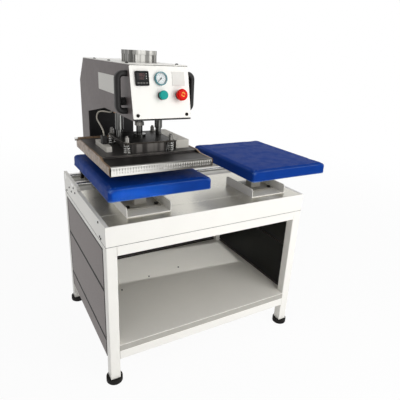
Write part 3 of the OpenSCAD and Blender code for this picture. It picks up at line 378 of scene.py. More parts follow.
@dataclass(frozen=True)
class BareMetal(Finish):
    """Metal with no coat: brushed or cast lines, dull stains, broad stripes of painted reflection along the
    lines, and edges made bright by wear and by a painted highlight.
    """

    colour: Colour
    roughness: float
    grain: Grain
    lines: float = 900.0
    depth: float = 0.00003
    edge: float = 0.0006
    metallic: float = 1.0
    # Painted reflection: noise scale of broad stripes along the grain, and how far they lower the colour
    bands: float = 0.0
    dark: float = 0.0
    shine: float = 1.35
    edge_share: float = 0.6
    tones: Pair = (0.84, 1.1)
    line_detail: float = 3.0
    line_share: float = 0.6
    line_gloss: float = 0.18
    stains: Noise = (9.0, 5.0)
    stain_gloss: float = 0.14
    band_detail: float = 1.0
    band_range: Pair = (0.42, 0.62)
    band_tone: float = 0.16

    def sockets(self, graph: Graph) -> Sockets:
        """Lined colour and gloss with a relief of the same lines, broad stripes of painted reflection along
        them, and edges made bright by wear and by a painted highlight.

        Args:
            graph: Graph of the material.

        Returns:
            Values and links of the shader's sockets.
        """
        place = graph.place()
        drawn = graph.vector("MULTIPLY", place, self.grain.value)
        lines = graph.noise(drawn, (self.lines, self.line_detail))
        stain = graph.noise(place, self.stains)
        ending = graph.vector("DOT_PRODUCT", graph.geometry("True Normal"), self.grain.end, "Value")
        # Painted reflection: broad stripes along the lines that lower the colour, none on faces across the
        # grain
        reflection_stripe = graph.noise(drawn, (self.bands, self.band_detail)).between(*self.band_range)
        painted_reflection = reflection_stripe * (1.0 - ending * ending) * self.dark
        tone = lines * self.line_share + stain * (1.0 - self.line_share)
        lined = graph.tones(tone, self.colour, *self.tones)
        with_painted_reflection = graph.mix(painted_reflection, lined, toned(self.colour, self.band_tone))
        # Edges made bright: wear on most metals, a painted highlight where the tone is raised high
        bright = graph.edge(self.edge) * self.edge_share
        return {
            "Base Color": graph.mix(bright, with_painted_reflection, toned(self.colour, self.shine)),
            "Metallic": self.metallic,
            "Roughness": self.roughness + lines.swing(self.line_gloss) + stain.swing(self.stain_gloss),
            "Normal": graph.bump(lines, self.depth, graph.rounded(self.edge)),
        }


@dataclass(frozen=True)
class Moulded(Finish):
    """Moulded plastic or rubber: a fine eroded grain, clouds of dust and paler edges."""

    colour: Colour
    dust: Colour
    roughness: float = 0.5
    depth: float = 0.00005
    coat: float = 0.0
    edge: float = 0.0008
    specular: float = 0.5
    # Share of pale edges: wear, raised on the lid to paint a highlight along its edges
    rubbed: float = 0.25
    coat_roughness: float = 0.12
    grain: Noise = (1500.0, 2.0)
    grain_tone: float = 0.85
    clouds: Noise = (28.0, 6.0)
    cloud_range: Pair = (0.5, 0.8)
    cloud_share: float = 0.2
    cloud_gloss: float = 0.2

    def sockets(self, graph: Graph) -> Sockets:
        """Dusted colour, uneven gloss and the grain of the mould.

        Args:
            graph: Graph of the material.

        Returns:
            Values and links of the shader's sockets.
        """
        place = graph.place()
        grain = graph.noise(place, self.grain)
        cloud = graph.noise(place, self.clouds)
        pale = graph.edge(self.edge) * self.rubbed + cloud.between(*self.cloud_range) * self.cloud_share
        clean = graph.tones(grain, self.colour, 1.0, self.grain_tone)
        return {
            "Base Color": graph.mix(pale, clean, self.dust),
            "Roughness": self.roughness + cloud.swing(self.cloud_gloss),
            "Coat Weight": self.coat,
            "Coat Roughness": self.coat_roughness,
            "Specular IOR Level": self.specular,
            "Normal": graph.bump(grain, self.depth, graph.rounded(self.edge)),
        }


@dataclass(frozen=True)
class CoatedCloth(Finish):
    """Cloth under a smooth coating: the weave shows through, with stains or streaks and soft creases."""

    colour: Colour
    stain: Colour
    stretch: Spot
    share: float
    roughness: float
    tones: Pair = (0.9, 1.08)
    thread: float = 0.0011
    weave_share: float = 0.16
    weave_gloss: float = 0.1
    weave_depth: float = 0.00012
    crease: float = 0.0004
    folds: Noise = (22.0, 3.0)
    streaks: float = 60.0
    streak_detail: float = 5.0
    streak_range: Pair = (0.42, 0.68)
    streak_gloss: float = 0.12
    specular: float = 0.5
    # Painted highlight: share and pale colour laid on the ridges of the cover, and the range of pointiness
    # that finds them
    rub: float = 0.0
    rubbed: Colour = display(126, 158, 208)
    ridge: Pair = (0.51, 0.535)

    def sockets(self, graph: Graph) -> Sockets:
        """Stained colour, worn gloss, a painted highlight on the ridges, and threads that cross under the
        coating.

        Args:
            graph: Graph of the material.

        Returns:
            Values and links of the shader's sockets.
        """
        place = graph.place()
        turn = math.tau / self.thread
        waves = [(graph.part(place, axis) * turn).math("SINE") for axis in "XYZ"]
        weave = (waves[0] + waves[1] + waves[2]) * self.weave_share + 0.5
        fold = graph.noise(place, self.folds)
        drawn = graph.vector("MULTIPLY", place, self.stretch)
        worn = graph.noise(drawn, (self.streaks, self.streak_detail)).between(*self.streak_range)
        cloth = graph.tones(weave, self.colour, *self.tones)
        # Painted highlight on the ridges, where the folds allow it
        ridge = graph.geometry("Pointiness").between(*self.ridge)
        stained = graph.mix(worn * self.share, cloth, self.stain)
        return {
            "Base Color": graph.mix(ridge * fold * self.rub, stained, self.rubbed),
            "Roughness": self.roughness + worn.swing(self.streak_gloss) + weave.swing(self.weave_gloss),
            "Specular IOR Level": self.specular,
            "Normal": graph.bump(weave, self.weave_depth, graph.bump(fold, self.crease, graph.geometry())),
        }


@dataclass(frozen=True)
class SideBoard(Finish):
    """Laminated board: grey outside with a drawn grain, and black painted shade on the face turned to the
    stand's middle.
    """

    outside: Colour
    inside: Colour
    middle: Spot
    roughness: float = 0.48
    specular: float = 0.25
    edge: float = 0.0008
    inner_range: Pair = (0.0, 0.02)
    outer_tones: Pair = (0.78, 1.2)
    inner_tones: Pair = (0.7, 1.4)
    stretch: Spot = (0.06, 0.06, 1.0)
    grain: Noise = (500.0, 4.0)
    grain_share: float = 0.25
    grain_gloss: float = 0.2
    depth: float = 0.00006
    speckles: Noise = (240.0, 2.0)
    speckle_range: Pair = (0.3, 0.7)
    speckle_share: float = 0.45
    clouds: Noise = (5.0, 4.0)
    cloud_share: float = 0.3

    def sockets(self, graph: Graph) -> Sockets:
        """Grey outside and black painted shade on the face turned to the middle, by the side of the board,
        with a grain in both.

        Args:
            graph: Graph of the material.

        Returns:
            Values and links of the shader's sockets.
        """
        place = graph.place()
        inward = graph.vector("MULTIPLY", graph.vector("SUBTRACT", self.middle, place), (1.0, 1.0, 0.0))
        facing = graph.vector("DOT_PRODUCT", inward, graph.geometry("True Normal"), "Value")
        shade_side = facing.between(*self.inner_range)
        grain = graph.noise(graph.vector("MULTIPLY", place, self.stretch), self.grain)
        speckle = graph.noise(place, self.speckles).between(*self.speckle_range)
        cloud = graph.noise(place, self.clouds)
        tone = grain * self.grain_share + speckle * self.speckle_share + cloud * self.cloud_share
        outer = graph.tones(tone, self.outside, *self.outer_tones)
        return {
            "Base Color": graph.mix(shade_side, outer, graph.tones(tone, self.inside, *self.inner_tones)),
            "Roughness": self.roughness + grain.swing(self.grain_gloss),
            "Specular IOR Level": self.specular,
            "Normal": graph.bump(grain, self.depth, graph.rounded(self.edge)),
        }


@dataclass(frozen=True)
class EtchedLine:
    """One kind of line on the scale, which repeats along it."""

    period: float
    width: float
    length: float

    def mask(self, across: Value, height: Value, top: float) -> Value:
        """Finds these lines on the strip.

        Args:
            across: Distance from the strip's left end.
            height: Height in the shared frame.
            top: Height of the lines' upper ends.

        Returns:
            1 on the lines and 0 beside them.
        """
        phase = (across * (1.0 / self.period) + 0.5).math("FRACT") - 0.5
        near = phase.math("ABSOLUTE") < self.width / 2 / self.period
        return near * (height > top - self.length) * (height < top)


@dataclass(frozen=True)
class ScaleStrip(Finish):
    """Polished strip with etched millimetre lines, and a painted reflection that is bright at its left end
    and dull at its right.
    """

    # Two ends of the painted reflection on the plating
    bright: Colour
    dull: Colour
    ink: Colour
    pale_ink: Colour
    line_top: float = 1.0125
    lines: tuple[EtchedLine, EtchedLine, EtchedLine] = (
        EtchedLine(0.001, 0.00024, 0.005),
        EtchedLine(0.005, 0.0006, 0.007),
        EtchedLine(0.01, 0.0026, 0.0095),
    )
    roughness: float = 0.44
    metallic: float = 0.6
    edge: float = 0.0005
    dull_range: Pair = (0.15, 0.8)
    pale_range: Pair = (0.4, 0.6)
    ink_gloss: float = 0.2
    stretch: Spot = (0.05, 1.0, 1.0)
    rubs: Noise = (700.0, 3.0)
    rub_share: float = 0.3
    rub_tone: float = 0.8
    rub_gloss: float = 0.12
    depth: float = 0.00002

    def sockets(self, graph: Graph) -> Sockets:
        """Plating with a painted reflection that goes dull towards the right, with etched lines at 1, 5 and
        10 millimetres.

        Args:
            graph: Graph of the material.

        Returns:
            Values and links of the shader's sockets.
        """
        place = graph.place()
        across = graph.part(place, "X") - SCALE_LEFT
        height = graph.part(place, "Z")
        rub = graph.noise(graph.vector("MULTIPLY", place, self.stretch), self.rubs)
        fine, half, whole = [line.mask(across, height, self.line_top) for line in self.lines]
        ink = fine.larger(half).larger(whole)
        # Painted reflection: the plating goes from the bright to the dull colour along the strip
        along = across * (1.0 / (SCALE_MARKS * SCALE_STEP))
        plate = graph.mix(along.between(*self.dull_range), self.bright, self.dull)
        rubbed = graph.mix(rub * self.rub_share, plate, toned(self.dull, self.rub_tone))
        fill = graph.mix(along.between(*self.pale_range), self.ink, self.pale_ink)
        return {
            "Base Color": graph.mix(ink, rubbed, fill),
            "Metallic": self.metallic - ink * self.metallic,
            "Roughness": self.roughness + ink * self.ink_gloss + rub.swing(self.rub_gloss),
            "Normal": graph.bump(rub, self.depth, graph.rounded(self.edge)),
        }


@dataclass(frozen=True)
class ClearPane(Finish):
    """Clear window with faint smears."""

    tint: Colour
    alpha: float = 0.08
    roughness: float = 0.1
    smears: Noise = (120.0, 5.0)
    smear_gloss: float = 0.16

    def sockets(self, graph: Graph) -> Sockets:
        """A thin tint with smeared gloss."""
        smear = graph.noise(graph.place(), self.smears).swing(self.smear_gloss)
        return {"Base Color": self.tint, "Alpha": self.alpha, "Roughness": self.roughness + smear}


@dataclass(frozen=True)
class LitMark(Finish):
    """Lamp or digit that glows a little behind its window."""

    colour: Colour
    glow: float
    roughness: float = 0.4
    clouds: Noise = (700.0, 2.0)
    cloud_tone: float = 0.7

    def sockets(self, graph: Graph) -> Sockets:
        """Glow that is uneven over the mark.

        Args:
            graph: Graph of the material.

        Returns:
            Values and links of the shader's sockets.
        """
        tint = graph.tones(graph.noise(graph.place(), self.clouds), self.colour, 1.0, self.cloud_tone)
        return {
            "Base Color": tint,
            "Roughness": self.roughness,
            "Emission Color": tint,
            "Emission Strength": self.glow,
        }


@dataclass(frozen=True)
class BraidedSleeve(Finish):
    """Glass braid round a heat-proof lead."""

    colour: Colour
    gap: Colour
    strand: float = 0.0016
    strand_share: float = 0.7
    depth: float = 0.0002
    roughness: float = 0.6
    soils: Noise = (90.0, 4.0)
    soil_gloss: float = 0.2

    def sockets(self, graph: Graph) -> Sockets:
        """Two crossing sets of strands.

        Args:
            graph: Graph of the material.

        Returns:
            Values and links of the shader's sockets.
        """
        place = graph.place()
        turn = math.tau / self.strand
        x, y, z = (graph.part(place, axis) for axis in "XYZ")
        rising, falling = [(way * turn).math("SINE") for way in (x + y + z, x + y - z)]
        braid = rising * falling * 0.5 + 0.5
        soil = graph.noise(place, self.soils)
        tone = braid * self.strand_share + soil * (1.0 - self.strand_share)
        return {
            "Base Color": graph.mix(tone, self.gap, self.colour),
            "Roughness": self.roughness + soil.swing(self.soil_gloss),
            "Normal": graph.bump(braid, self.depth, graph.geometry()),
        }


@dataclass(frozen=True)
class StudioFloor(Finish):
    """Pale floor that reads white and still takes a soft shadow."""

    colour: Colour
    lit: float
    near: float = 1.2
    far: float = 5.0

    def sockets(self, graph: Graph) -> Sockets:
        """Matt and glowing shaders with the share of the glow, which is whole away from the object.

        Args:
            graph: Graph of the material.

        Returns:
            Values and links of the shader's sockets.
        """
        away = graph.vector("LENGTH", graph.place(), output="Value").between(self.near, self.far)
        matt = graph.node("ShaderNodeBsdfDiffuse", inputs={"Color": self.colour})
        glow = graph.node("ShaderNodeEmission", inputs={"Color": WHITE, "Strength": 1.0})
        return {0: graph.seen() * (away * (1.0 - self.lit) + self.lit), 1: matt, 2: glow}

    def surface(self, graph: Graph) -> Value:
        """Mix of the two shaders."""
        return graph.node("ShaderNodeMixShader", inputs=self.sockets(graph))


# Paints
WHITE_ENAMEL = Enamel("white_enamel", display(246, 244, 238), display(206, 203, 196))
GREY_ENAMEL = Enamel("grey_enamel", display(100, 91, 90), display(150, 144, 139), 0.46, specular=0.35)
BLACK_ENAMEL = Enamel("black_enamel", display(14, 13, 13), display(74, 71, 68), 0.44, specular=0.3)
# Mid grey, partly the posts' paint and partly painted shade for the shaded space under the pads
POST_ENAMEL = Enamel("post_enamel", display(160, 157, 148), display(206, 203, 196), 0.4)
# The shelf's pale tone is partly painted light: paler than the grey of its front strip, so that the top reads
# bright in the shade under the deck
SHELF_SHEET = Enamel("shelf_sheet_paint", display(240, 237, 229), display(244, 242, 236))
# The black colour on the boards' faces towards the middle is painted shade within the stand
PANEL_BOARD = SideBoard("panel_board", display(126, 118, 116), display(18, 18, 16), (-0.01, 0.035, 0.0))

# Metals
DECK_SHEET = BareMetal(
    "brushed_deck", display(222, 219, 208), 0.3, Grain.ALONG_X, 2600.0, 0.000006, metallic=0.8
)
DARK_STEEL = BareMetal("blackened_steel", display(36, 34, 32), 0.46, Grain.EVEN)
CHROME = BareMetal("hard_chromium", display(206, 206, 204), 0.18, Grain.ALONG_X, depth=0.000008)
# The rods' low tone is painted shade under the arm and painted reflection, and the stripes along them are
# painted reflection
ROD_CHROME = BareMetal("rod_chromium", display(104, 104, 102), 0.16, Grain.ALONG_Z, bands=150.0, dark=0.95)
# The very high edge tone paints a highlight along the carrier's edges
CARRIER_STEEL = BareMetal("carrier_steel", display(44, 41, 38), 0.46, Grain.EVEN, edge=0.0014, shine=12.0)
# The studs' low tone is partly painted shade in the throat, and the stripes along them are painted reflection
STUD_STEEL = BareMetal(
    "stud_steel", display(128, 126, 122), 0.3, Grain.ALONG_Z, depth=0.00002, bands=190.0, dark=0.9
)
SPRING_WIRE = BareMetal("spring_wire", display(196, 195, 192), 0.24, Grain.EVEN)
# The barrel's lowered grey tone and its stripes are painted reflection
CYLINDER_SKIN = BareMetal(
    "drawn_aluminium", display(146, 145, 141), 0.34, Grain.ALONG_Z, bands=52.0, dark=0.75
)
CAST_ALUMINIUM = BareMetal("cast_block", display(168, 166, 161), 0.48, Grain.EVEN, 500.0, 0.00012)
# The block's low tone is partly painted shade in the throat, and its stripes are painted reflection
SAWN_BLOCK = BareMetal(
    "sawn_block", display(92, 89, 86), 0.4, Grain.ALONG_Z, 500.0, 0.00008, bands=36.0, dark=0.85
)
PLATEN_CASTING = BareMetal("scorched_casting", display(46, 43, 41), 0.46, Grain.ALONG_X, 500.0, 0.00008)
BRASS = BareMetal("turned_brass", display(196, 164, 96), 0.28, Grain.EVEN)
BRONZE = BareMetal("sintered_bronze", display(156, 112, 72), 0.46, Grain.EVEN, 1400.0, 0.00006)
# The bright and dull ends of the scale are painted reflection
SCALE_STRIP = ScaleStrip(
    "scale_strip", display(206, 205, 200), display(70, 68, 64), display(96, 94, 90), display(206, 204, 198)
)

# Plastics, rubber and prints
FOOT_RUBBER = Moulded("foot_moulding", display(18, 16, 15), display(62, 59, 56), 0.72, 0.00012, specular=0.2)
BLACK_PLASTIC = Moulded("black_moulding", display(16, 14, 14), display(58, 55, 53), specular=0.3)
CASE_PLASTIC = Moulded("controller_case", display(8, 8, 9), display(26, 26, 27), 0.42, specular=0.1)
GAUGE_CASE = Moulded("gauge_case_paint", display(58, 134, 144), display(150, 190, 196), 0.34, coat=0.2)
PALE_PLATE = Moulded("pale_plate", display(226, 224, 218), display(238, 236, 232), 0.44)
BOX_WHITE = Moulded("box_white_paint", display(216, 212, 203), display(232, 229, 222), 0.46)
GREEN_CAP = Moulded("teal_cap", display(0, 156, 148), display(60, 190, 182), 0.42, specular=0.15)
RED_CAP = Moulded("red_cap", display(224, 12, 4), display(240, 60, 24), 0.42, specular=0.12)
ARROW_YELLOW = Moulded("arrow_yellow", display(252, 178, 40), display(252, 204, 100), 0.4, specular=0.3)
PRINT_BLACK = Moulded("print_black", display(16, 16, 16), display(44, 44, 44), 0.6, specular=0.25)
PRINT_GREY = Moulded("print_grey", display(96, 94, 90), display(124, 122, 117), 0.6)
PRINT_PALE = Moulded("print_pale", display(206, 204, 198), display(226, 224, 219), 0.6)
DIAL_WHITE = Moulded("dial_white", display(244, 246, 245), display(228, 234, 234))
DARK_WINDOW = Moulded("display_window", display(6, 6, 7), display(18, 18, 20), 0.3, 0.00001, specular=0.15)
# Raised pale edges paint a highlight along the lid's edges
LID_BOARD = Moulded(
    "lid_laminate",
    display(40, 37, 36),
    display(150, 143, 134),
    0.4,
    0.00009,
    edge=0.0016,
    specular=0.35,
    rubbed=0.7,
)
SHELF_TRIM = Moulded("shelf_trim_grey", display(178, 175, 167), display(196, 193, 186), 0.4)
SEAM_GREY = Moulded("seam_grey", display(70, 67, 64), display(96, 93, 89), 0.6, specular=0.2)
# Black strips that paint the shade in the gaps round and between the boards
SHADE_STRIP_BLACK = Moulded("painted_shade_black", display(12, 11, 11), display(34, 32, 31), 0.6, specular=0.15)
DIGIT_RED = LitMark("digit_red", display(104, 30, 24), 0.04)
LAMP_PALE = LitMark("lamp_pale", display(226, 224, 216), 0.2)
CLEAR_LENS = ClearPane("clear_lens", display(224, 234, 236))

# Cloth, film, braid and floor
CABLE_BRAID = BraidedSleeve("cable_braid", display(226, 221, 208), display(132, 126, 112))
PAD_COVER = CoatedCloth(
    "padded_cloth",
    display(10, 54, 134),
    display(18, 66, 150),
    stretch=(0.35, 0.35, 0.35),
    share=0.1,
    roughness=0.53,
    crease=0.0001,
    specular=0.04,
    # Painted highlight along the ridges of the pads
    rub=0.9,
)
RELEASE_FILM = CoatedCloth(
    "coated_film",
    display(146, 120, 94),
    display(66, 49, 40),
    stretch=(1.0, 1.0, 0.45),
    share=0.6,
    roughness=0.35,
    streaks=75.0,
    specular=0.4,
)
STUDIO_FLOOR = StudioFloor("studio_floor", (0.88, 0.88, 0.88), 0.94)


# Meshes


def around(radius: float, sides: int) -> list[Pair]:
    """Points of a regular outline on a circle."""
    angles = [math.tau * i / sides for i in range(sides)]
    return [(radius * math.cos(angle), radius * math.sin(angle)) for angle in angles]


def round_rectangle(width: float, height: float, corner: float, steps: int = 5) -> list[Pair]:
    """Points of a rectangle with round corners, about its middle.

    Args:
        width: Side to side.
        height: Foot to top.
        corner: Corner radius.
        steps: Pieces of each corner's arc.

    Returns:
        The outline, counted round once.
    """
    points = []
    for quarter, (sx, sy) in enumerate(((1, 1), (-1, 1), (-1, -1), (1, -1))):
        for i in range(steps + 1):
            angle = math.pi / 2 * (quarter + i / steps)
            across = sx * (width / 2 - corner) + corner * math.cos(angle)
            points.append((across, sy * (height / 2 - corner) + corner * math.sin(angle)))
    return points


def smooth_path(points: Sequence[Vector], steps: int) -> list[Vector]:
    """Curve through all points of a route.

    Args:
        points: Points of the route.
        steps: Pieces between two points.

    Returns:
        Points close together on the curve.
    """
    path = []
    ends = [points[0] * 2 - points[1], *points, points[-1] * 2 - points[-2]]
    for before, start, stop, after in zip(ends, ends[1:], ends[2:], ends[3:]):
        for i in range(steps):
            t = i / steps
            bend = (stop - before) * t + (before * 2 - start * 5 + stop * 4 - after) * t**2
            path.append(start + (bend + (start * 3 - stop * 3 + after - before) * t**3) / 2)
    return [*path, points[-1].copy()]


def seat(origin: Vector, across: Spot = (1, 0, 0), up: Spot = (0, 1, 0)) -> Matrix:
    """Frame of a small piece.

    Args:
        origin: Where it sits.
        across: Its first direction.
        up: Its second direction, square to the first.

    Returns:
        Matrix from the piece's own frame to the shared one.
    """
    first, second = Vector(across), Vector(up)
    turn = Matrix((first, second, first.cross(second))).transposed().to_4x4()
    return Matrix.Translation(origin) @ turn


def facing_front(origin: Vector) -> Matrix:
    """Frame of a piece that stands upright and faces the front."""
    return seat(origin, (1, 0, 0), (0, 0, 1))


class Form:
    """Mesh under construction, collected from grids, tubes, turned shapes, flat shapes and figures."""

    weld: ClassVar[float] = 1e-6
    sharp_angle: ClassVar[float] = math.radians(38)

    def __init__(self) -> None:
        """Starts empty."""
        self.mesh = bmesh.new()

    def grid(self, rows: Sequence[Sequence[Vector]], closed: bool = False) -> list[list[bmesh.types.BMVert]]:
        """Adds faces between rows of points.

        Args:
            rows: Rows with the same number of points.
            closed: Whether each row closes on itself.

        Returns:
            The new vertices, row by row.
        """
        made = [[self.mesh.verts.new(point) for point in row] for row in rows]
        count = len(rows[0])
        for low, high in zip(made, made[1:]):
            for i in range(count if closed else count - 1):
                j = (i + 1) % count
                self.mesh.faces.new((low[i], low[j], high[j], high[i]))
        return made

    def rings(self, rows: Sequence[Sequence[Vector]], capped: bool = True) -> None:
        """Adds faces between closed rows, and closes the first and the last row if it is capped.

        Args:
            rows: Closed rows with the same number of points.
            capped: Whether the first and last rows are filled.
        """
        made = self.grid(rows, closed=True)
        if capped:
            self.mesh.faces.new(list(reversed(made[0])))
            self.mesh.faces.new(made[-1])

    def stacked(self, levels: Sequence[tuple[Outline, float]], place: Matrix, capped: bool = True) -> None:
        """Adds a shape through outlines at several heights.

        Args:
            levels: Outlines with the same number of points, each with its height.
            place: Frame of the shape.
            capped: Whether the first and last outlines are closed.
        """
        self.rings([[place @ Vector((x, y, z)) for x, y in outline] for outline, z in levels], capped)

    def tube(self, path: Sequence[Vector], radius: float, sides: int) -> None:
        """Adds a round tube with closed ends.

        Args:
            path: Points of its centreline.
            radius: Outer radius.
            sides: Corners of its section.
        """
        ahead = [(b - a).normalized() for a, b in zip(path, path[1:])]
        heading = [ahead[0], *((a + b).normalized() for a, b in zip(ahead, ahead[1:])), ahead[-1]]
        side = heading[0].orthogonal().normalized()
        rows = []
        for point, along in zip(path, heading):
            side = (side - along * side.dot(along)).normalized()
            up = along.cross(side)
            rows.append([point + side * x + up * y for x, y in around(radius, sides)])
        self.rings(rows)

    def turned(self, profile: Outline, place: Matrix, sides: int, bored: bool = False) -> None:
        """Adds a turned shape.

        Args:
            profile: Radius and height of each ring, from the foot to the middle of the top.
            place: Frame of the shape.
            sides: Corners of a ring.
            bored: Whether the profile goes round a bore and closes on itself.
        """
        levels = [(around(radius, sides), height) for radius, height in profile]
        if bored:
            levels.append(levels[0])
        self.stacked(levels, place, capped=not bored)

    def flat(self, outline: Outline, place: Matrix, thickness: float) -> None:
        """Adds a flat shape that stands up from its place by its thickness."""
        self.stacked([(outline, 0.0), (outline, thickness)], place)

    def figure(self, text: str, size: float, place: Matrix) -> None:
        """Adds a printed number, centred on its place.

        Args:
            text: The figures.
            size: Height of the type.
            place: Frame of the print.
        """
        curve = bpy.data.curves.new("figure", "FONT")
        curve.body = text
        curve.size = size
        curve.resolution_u = 2
        curve.align_x = "CENTER"
        curve.align_y = "CENTER"
        carrier = bpy.data.objects.new("figure", curve)
        print_mesh = carrier.to_mesh()
        print_mesh.transform(place)
        self.mesh.from_mesh(print_mesh)
        carrier.to_mesh_clear()
        bpy.data.objects.remove(carrier)
        bpy.data.curves.remove(curve)

    def bare(self, name: str) -> bpy.types.Object:
        """Makes an object with smooth faces and sharp edges.

        Args:
            name: Name of the object.

        Returns:
            The new object, with no finish.
        """
        bmesh.ops.remove_doubles(self.mesh, verts=self.mesh.verts[:], dist=self.weld)
        bmesh.ops.recalc_face_normals(self.mesh, faces=self.mesh.faces[:])
        data = bpy.data.meshes.new(name)
        self.mesh.to_mesh(data)
        self.mesh.free()
        data.shade_smooth()
        data.set_sharp_from_angle(angle=self.sharp_angle)
        made = bpy.data.objects.new(name, data)
        bpy.context.scene.collection.objects.link(made)
        return made

    def piece(self, name: str, finish: Finish, slot: str, body: str | None) -> bpy.types.Object:
        """Makes a piece of the part.

        Args:
            name: Name of the piece.
            finish: Its look.
            slot: Material slot of the record; not used.
            body: Body that it rides on, or nothing for a piece that rides on no body.

        Returns:
            The new piece.
        """
        made = self.bare(name)
        finish.dress(made)
        if body:
            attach(made, body)
        return made


# Studio


@dataclass(frozen=True)
class Lamp:
    """Soft rectangular lamp, which a small spread narrows to a beam."""

    name: str
    place: Spot
    aim: Spot
    width: float
    height: float
    power: float
    spread: float = math.pi
    turn: float = 0.0

    def hang(self) -> None:
        """Hangs the lamp, out of the camera's sight."""
        light = bpy.data.lights.new(self.name, "AREA")
        light.shape = "RECTANGLE"
        light.size = self.width
        light.size_y = self.height
        light.energy = self.power
        light.spread = self.spread
        carrier = bpy.data.objects.new(self.name, light)
        carrier.location = self.place
        carrier.rotation_euler = (Vector(self.aim) - Vector(self.place)).to_track_quat("-Z", "Y").to_euler()
        carrier.rotation_euler.z += self.turn
        carrier.visible_camera = False
        bpy.context.scene.collection.objects.link(carrier)


@dataclass
class Studio:
    """Camera, floor and lamps of a plain light studio."""

    eye: Spot = (-0.880288, -1.655212, 1.39847)
    yaw: float = 0.53158
    pitch: float = 0.36092
    roll: float = 0.05126
    focal_share: float = 0.976975
    sensor: float = 36.0
    ambient: float = 0.44
    floor_radius: float = 40.0
    floor_sides: int = 64
    floor_t: float = 0.02
    floor_gap: float = 0.001
    lamps: tuple[Lamp, ...] = (
        Lamp("key_lamp", (0.9, -2.4, 1.9), (0.0, -0.1, 0.5), 1.8, 1.8, 34.0),
        Lamp("low_lamp", (0.15, -2.5, 0.35), (0.0, -0.3, 0.5), 1.2, 1.2, 12.5),
        Lamp("top_lamp", (0.1, -0.1, 3.4), (0.0, 0.0, 0.8), 2.2, 2.2, 6.5),
        Lamp("left_lamp", (-2.8, -0.4, 1.6), (0.0, 0.0, 0.8), 1.8, 1.8, 4.0),
        Lamp("bay_lamp", (-0.01, 0.237, 0.62), (-0.01, 0.237, 0.0), 0.9, 0.28, 0.24, spread=0.1, turn=-0.1),
        Lamp("pad_lamp", (-0.4, -1.3, 0.83), (-0.4, -0.41, 0.917), 0.25, 0.03, 0.05, spread=0.1),
    )

    def camera(self) -> None:
        """Sets the camera at the photograph's place and angle."""
        level = Vector((math.cos(self.yaw), -math.sin(self.yaw), 0.0))
        reach = math.cos(self.pitch)
        ahead = Vector((math.sin(self.yaw) * reach, math.cos(self.yaw) * reach, -math.sin(self.pitch)))
        upright = level.cross(ahead)
        right = level * math.cos(self.roll) + upright * math.sin(self.roll)
        up = upright * math.cos(self.roll) - level * math.sin(self.roll)
        lens = bpy.data.cameras.new("camera")
        lens.sensor_width = self.sensor
        lens.lens = self.focal_share * self.sensor
        camera = bpy.data.objects.new("camera", lens)
        camera.matrix_world = seat(Vector(self.eye), right, up)
        bpy.context.scene.collection.objects.link(camera)
        bpy.context.scene.camera = camera

    def world(self) -> None:
        """Sets a white surround that lights the object at a plain level."""
        surround = bpy.data.worlds.new("surround")
        surround.use_nodes = True
        graph = Graph(surround.node_tree)
        strength = graph.seen() * (1.0 - self.ambient) + self.ambient
        sky = graph.node("ShaderNodeBackground", inputs={"Color": WHITE, "Strength": strength})
        graph.node("ShaderNodeOutputWorld", inputs={"Surface": sky})
        bpy.context.scene.world = surround

    def floor(self) -> None:
        """Lays a pale round floor just under the feet."""
        disc = Form()
        foot = Vector((0.0, 0.0, -self.floor_t - self.floor_gap))
        disc.flat(around(self.floor_radius, self.floor_sides), seat(foot), self.floor_t)
        floor = disc.bare("floor")
        STUDIO_FLOOR.dress(floor)

    def build(self) -> None:
        """Sets up the whole studio."""
        bpy.context.scene.view_settings.view_transform = "Standard"
        self.camera()
        self.world()
        self.floor()
        for lamp in self.lamps:
            lamp.hang()


# Sub-assemblies


# Nodes that wear each finish
Coats = dict[Finish, tuple[str, ...]]


class SubAssembly(ABC):
    """Group of pieces that is built and dressed together."""

    coats: ClassVar[Coats] = {}

    @abstractmethod
    def made(self) -> list[bpy.types.Object]:
        """Makes the pieces that are new or stand in the place of a node, and returns them."""

    def build(self) -> list[bpy.types.Object]:
        """Dresses the group's nodes, makes its other pieces, and returns all of them."""
        dressed = [piece for finish, nodes in self.coats.items() for piece in finish.dress_nodes(*nodes)]
        return [*dressed, *self.made()]


# Soft and wound pieces


@dataclass
class HeaterCable(SubAssembly):
    """Braided lead that loops from the gland on the platen into the underside of the arm."""

    lid_top: float = 1.023
    diameter: float = 0.006
    sides: int = 14
    steps: int = 5
    # Points from the platen up to the arm, counted from the piston's line at the top of the lid
    route: tuple[Spot, ...] = (
        (-0.147, 0.002, 0.052),
        (-0.147, 0.004, 0.061),
        (-0.147, 0.012, 0.070),
        (-0.147, 0.025, 0.077),
        (-0.147, 0.041, 0.083),
        (-0.146, 0.058, 0.088),
        (-0.145, 0.076, 0.092),
        (-0.144, 0.094, 0.096),
        (-0.142, 0.110, 0.101),
        (-0.139, 0.122, 0.108),
        (-0.135, 0.127, 0.117),
        (-0.130, 0.124, 0.125),
        (-0.124, 0.115, 0.129),
        (-0.117, 0.103, 0.131),
        (-0.110, 0.091, 0.131),
        (-0.104, 0.081, 0.131),
        (-0.099, 0.072, 0.131),
        (-0.0955, 0.066, 0.133),
        (-0.093, 0.062, 0.138),
        (-0.092, 0.060, 0.145),
        (-0.092, 0.060, 0.148),
    )

    def made(self) -> list[bpy.types.Object]:
        """Draws the braided tube along the route of the CAD cable.

        Returns:
            The lead.
        """
        origin = Vector((HEAD_X, PISTON_Y, self.lid_top))
        path = smooth_path([origin + Vector(point) for point in self.route], self.steps)
        form = Form()
        form.tube(path, self.diameter / 2, self.sides)
        cable = form.piece("heater_lead", CABLE_BRAID, "cable_jacket", None)
        length = sum((b - a).length for a, b in zip(path, path[1:]))
        low, high = path[0], Vector((path[0].x, path[0].y, path[-1].z))
        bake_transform(cable)
        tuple(low)
        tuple(high)
        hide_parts("heater_cable")
        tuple(low)
        return [cable]


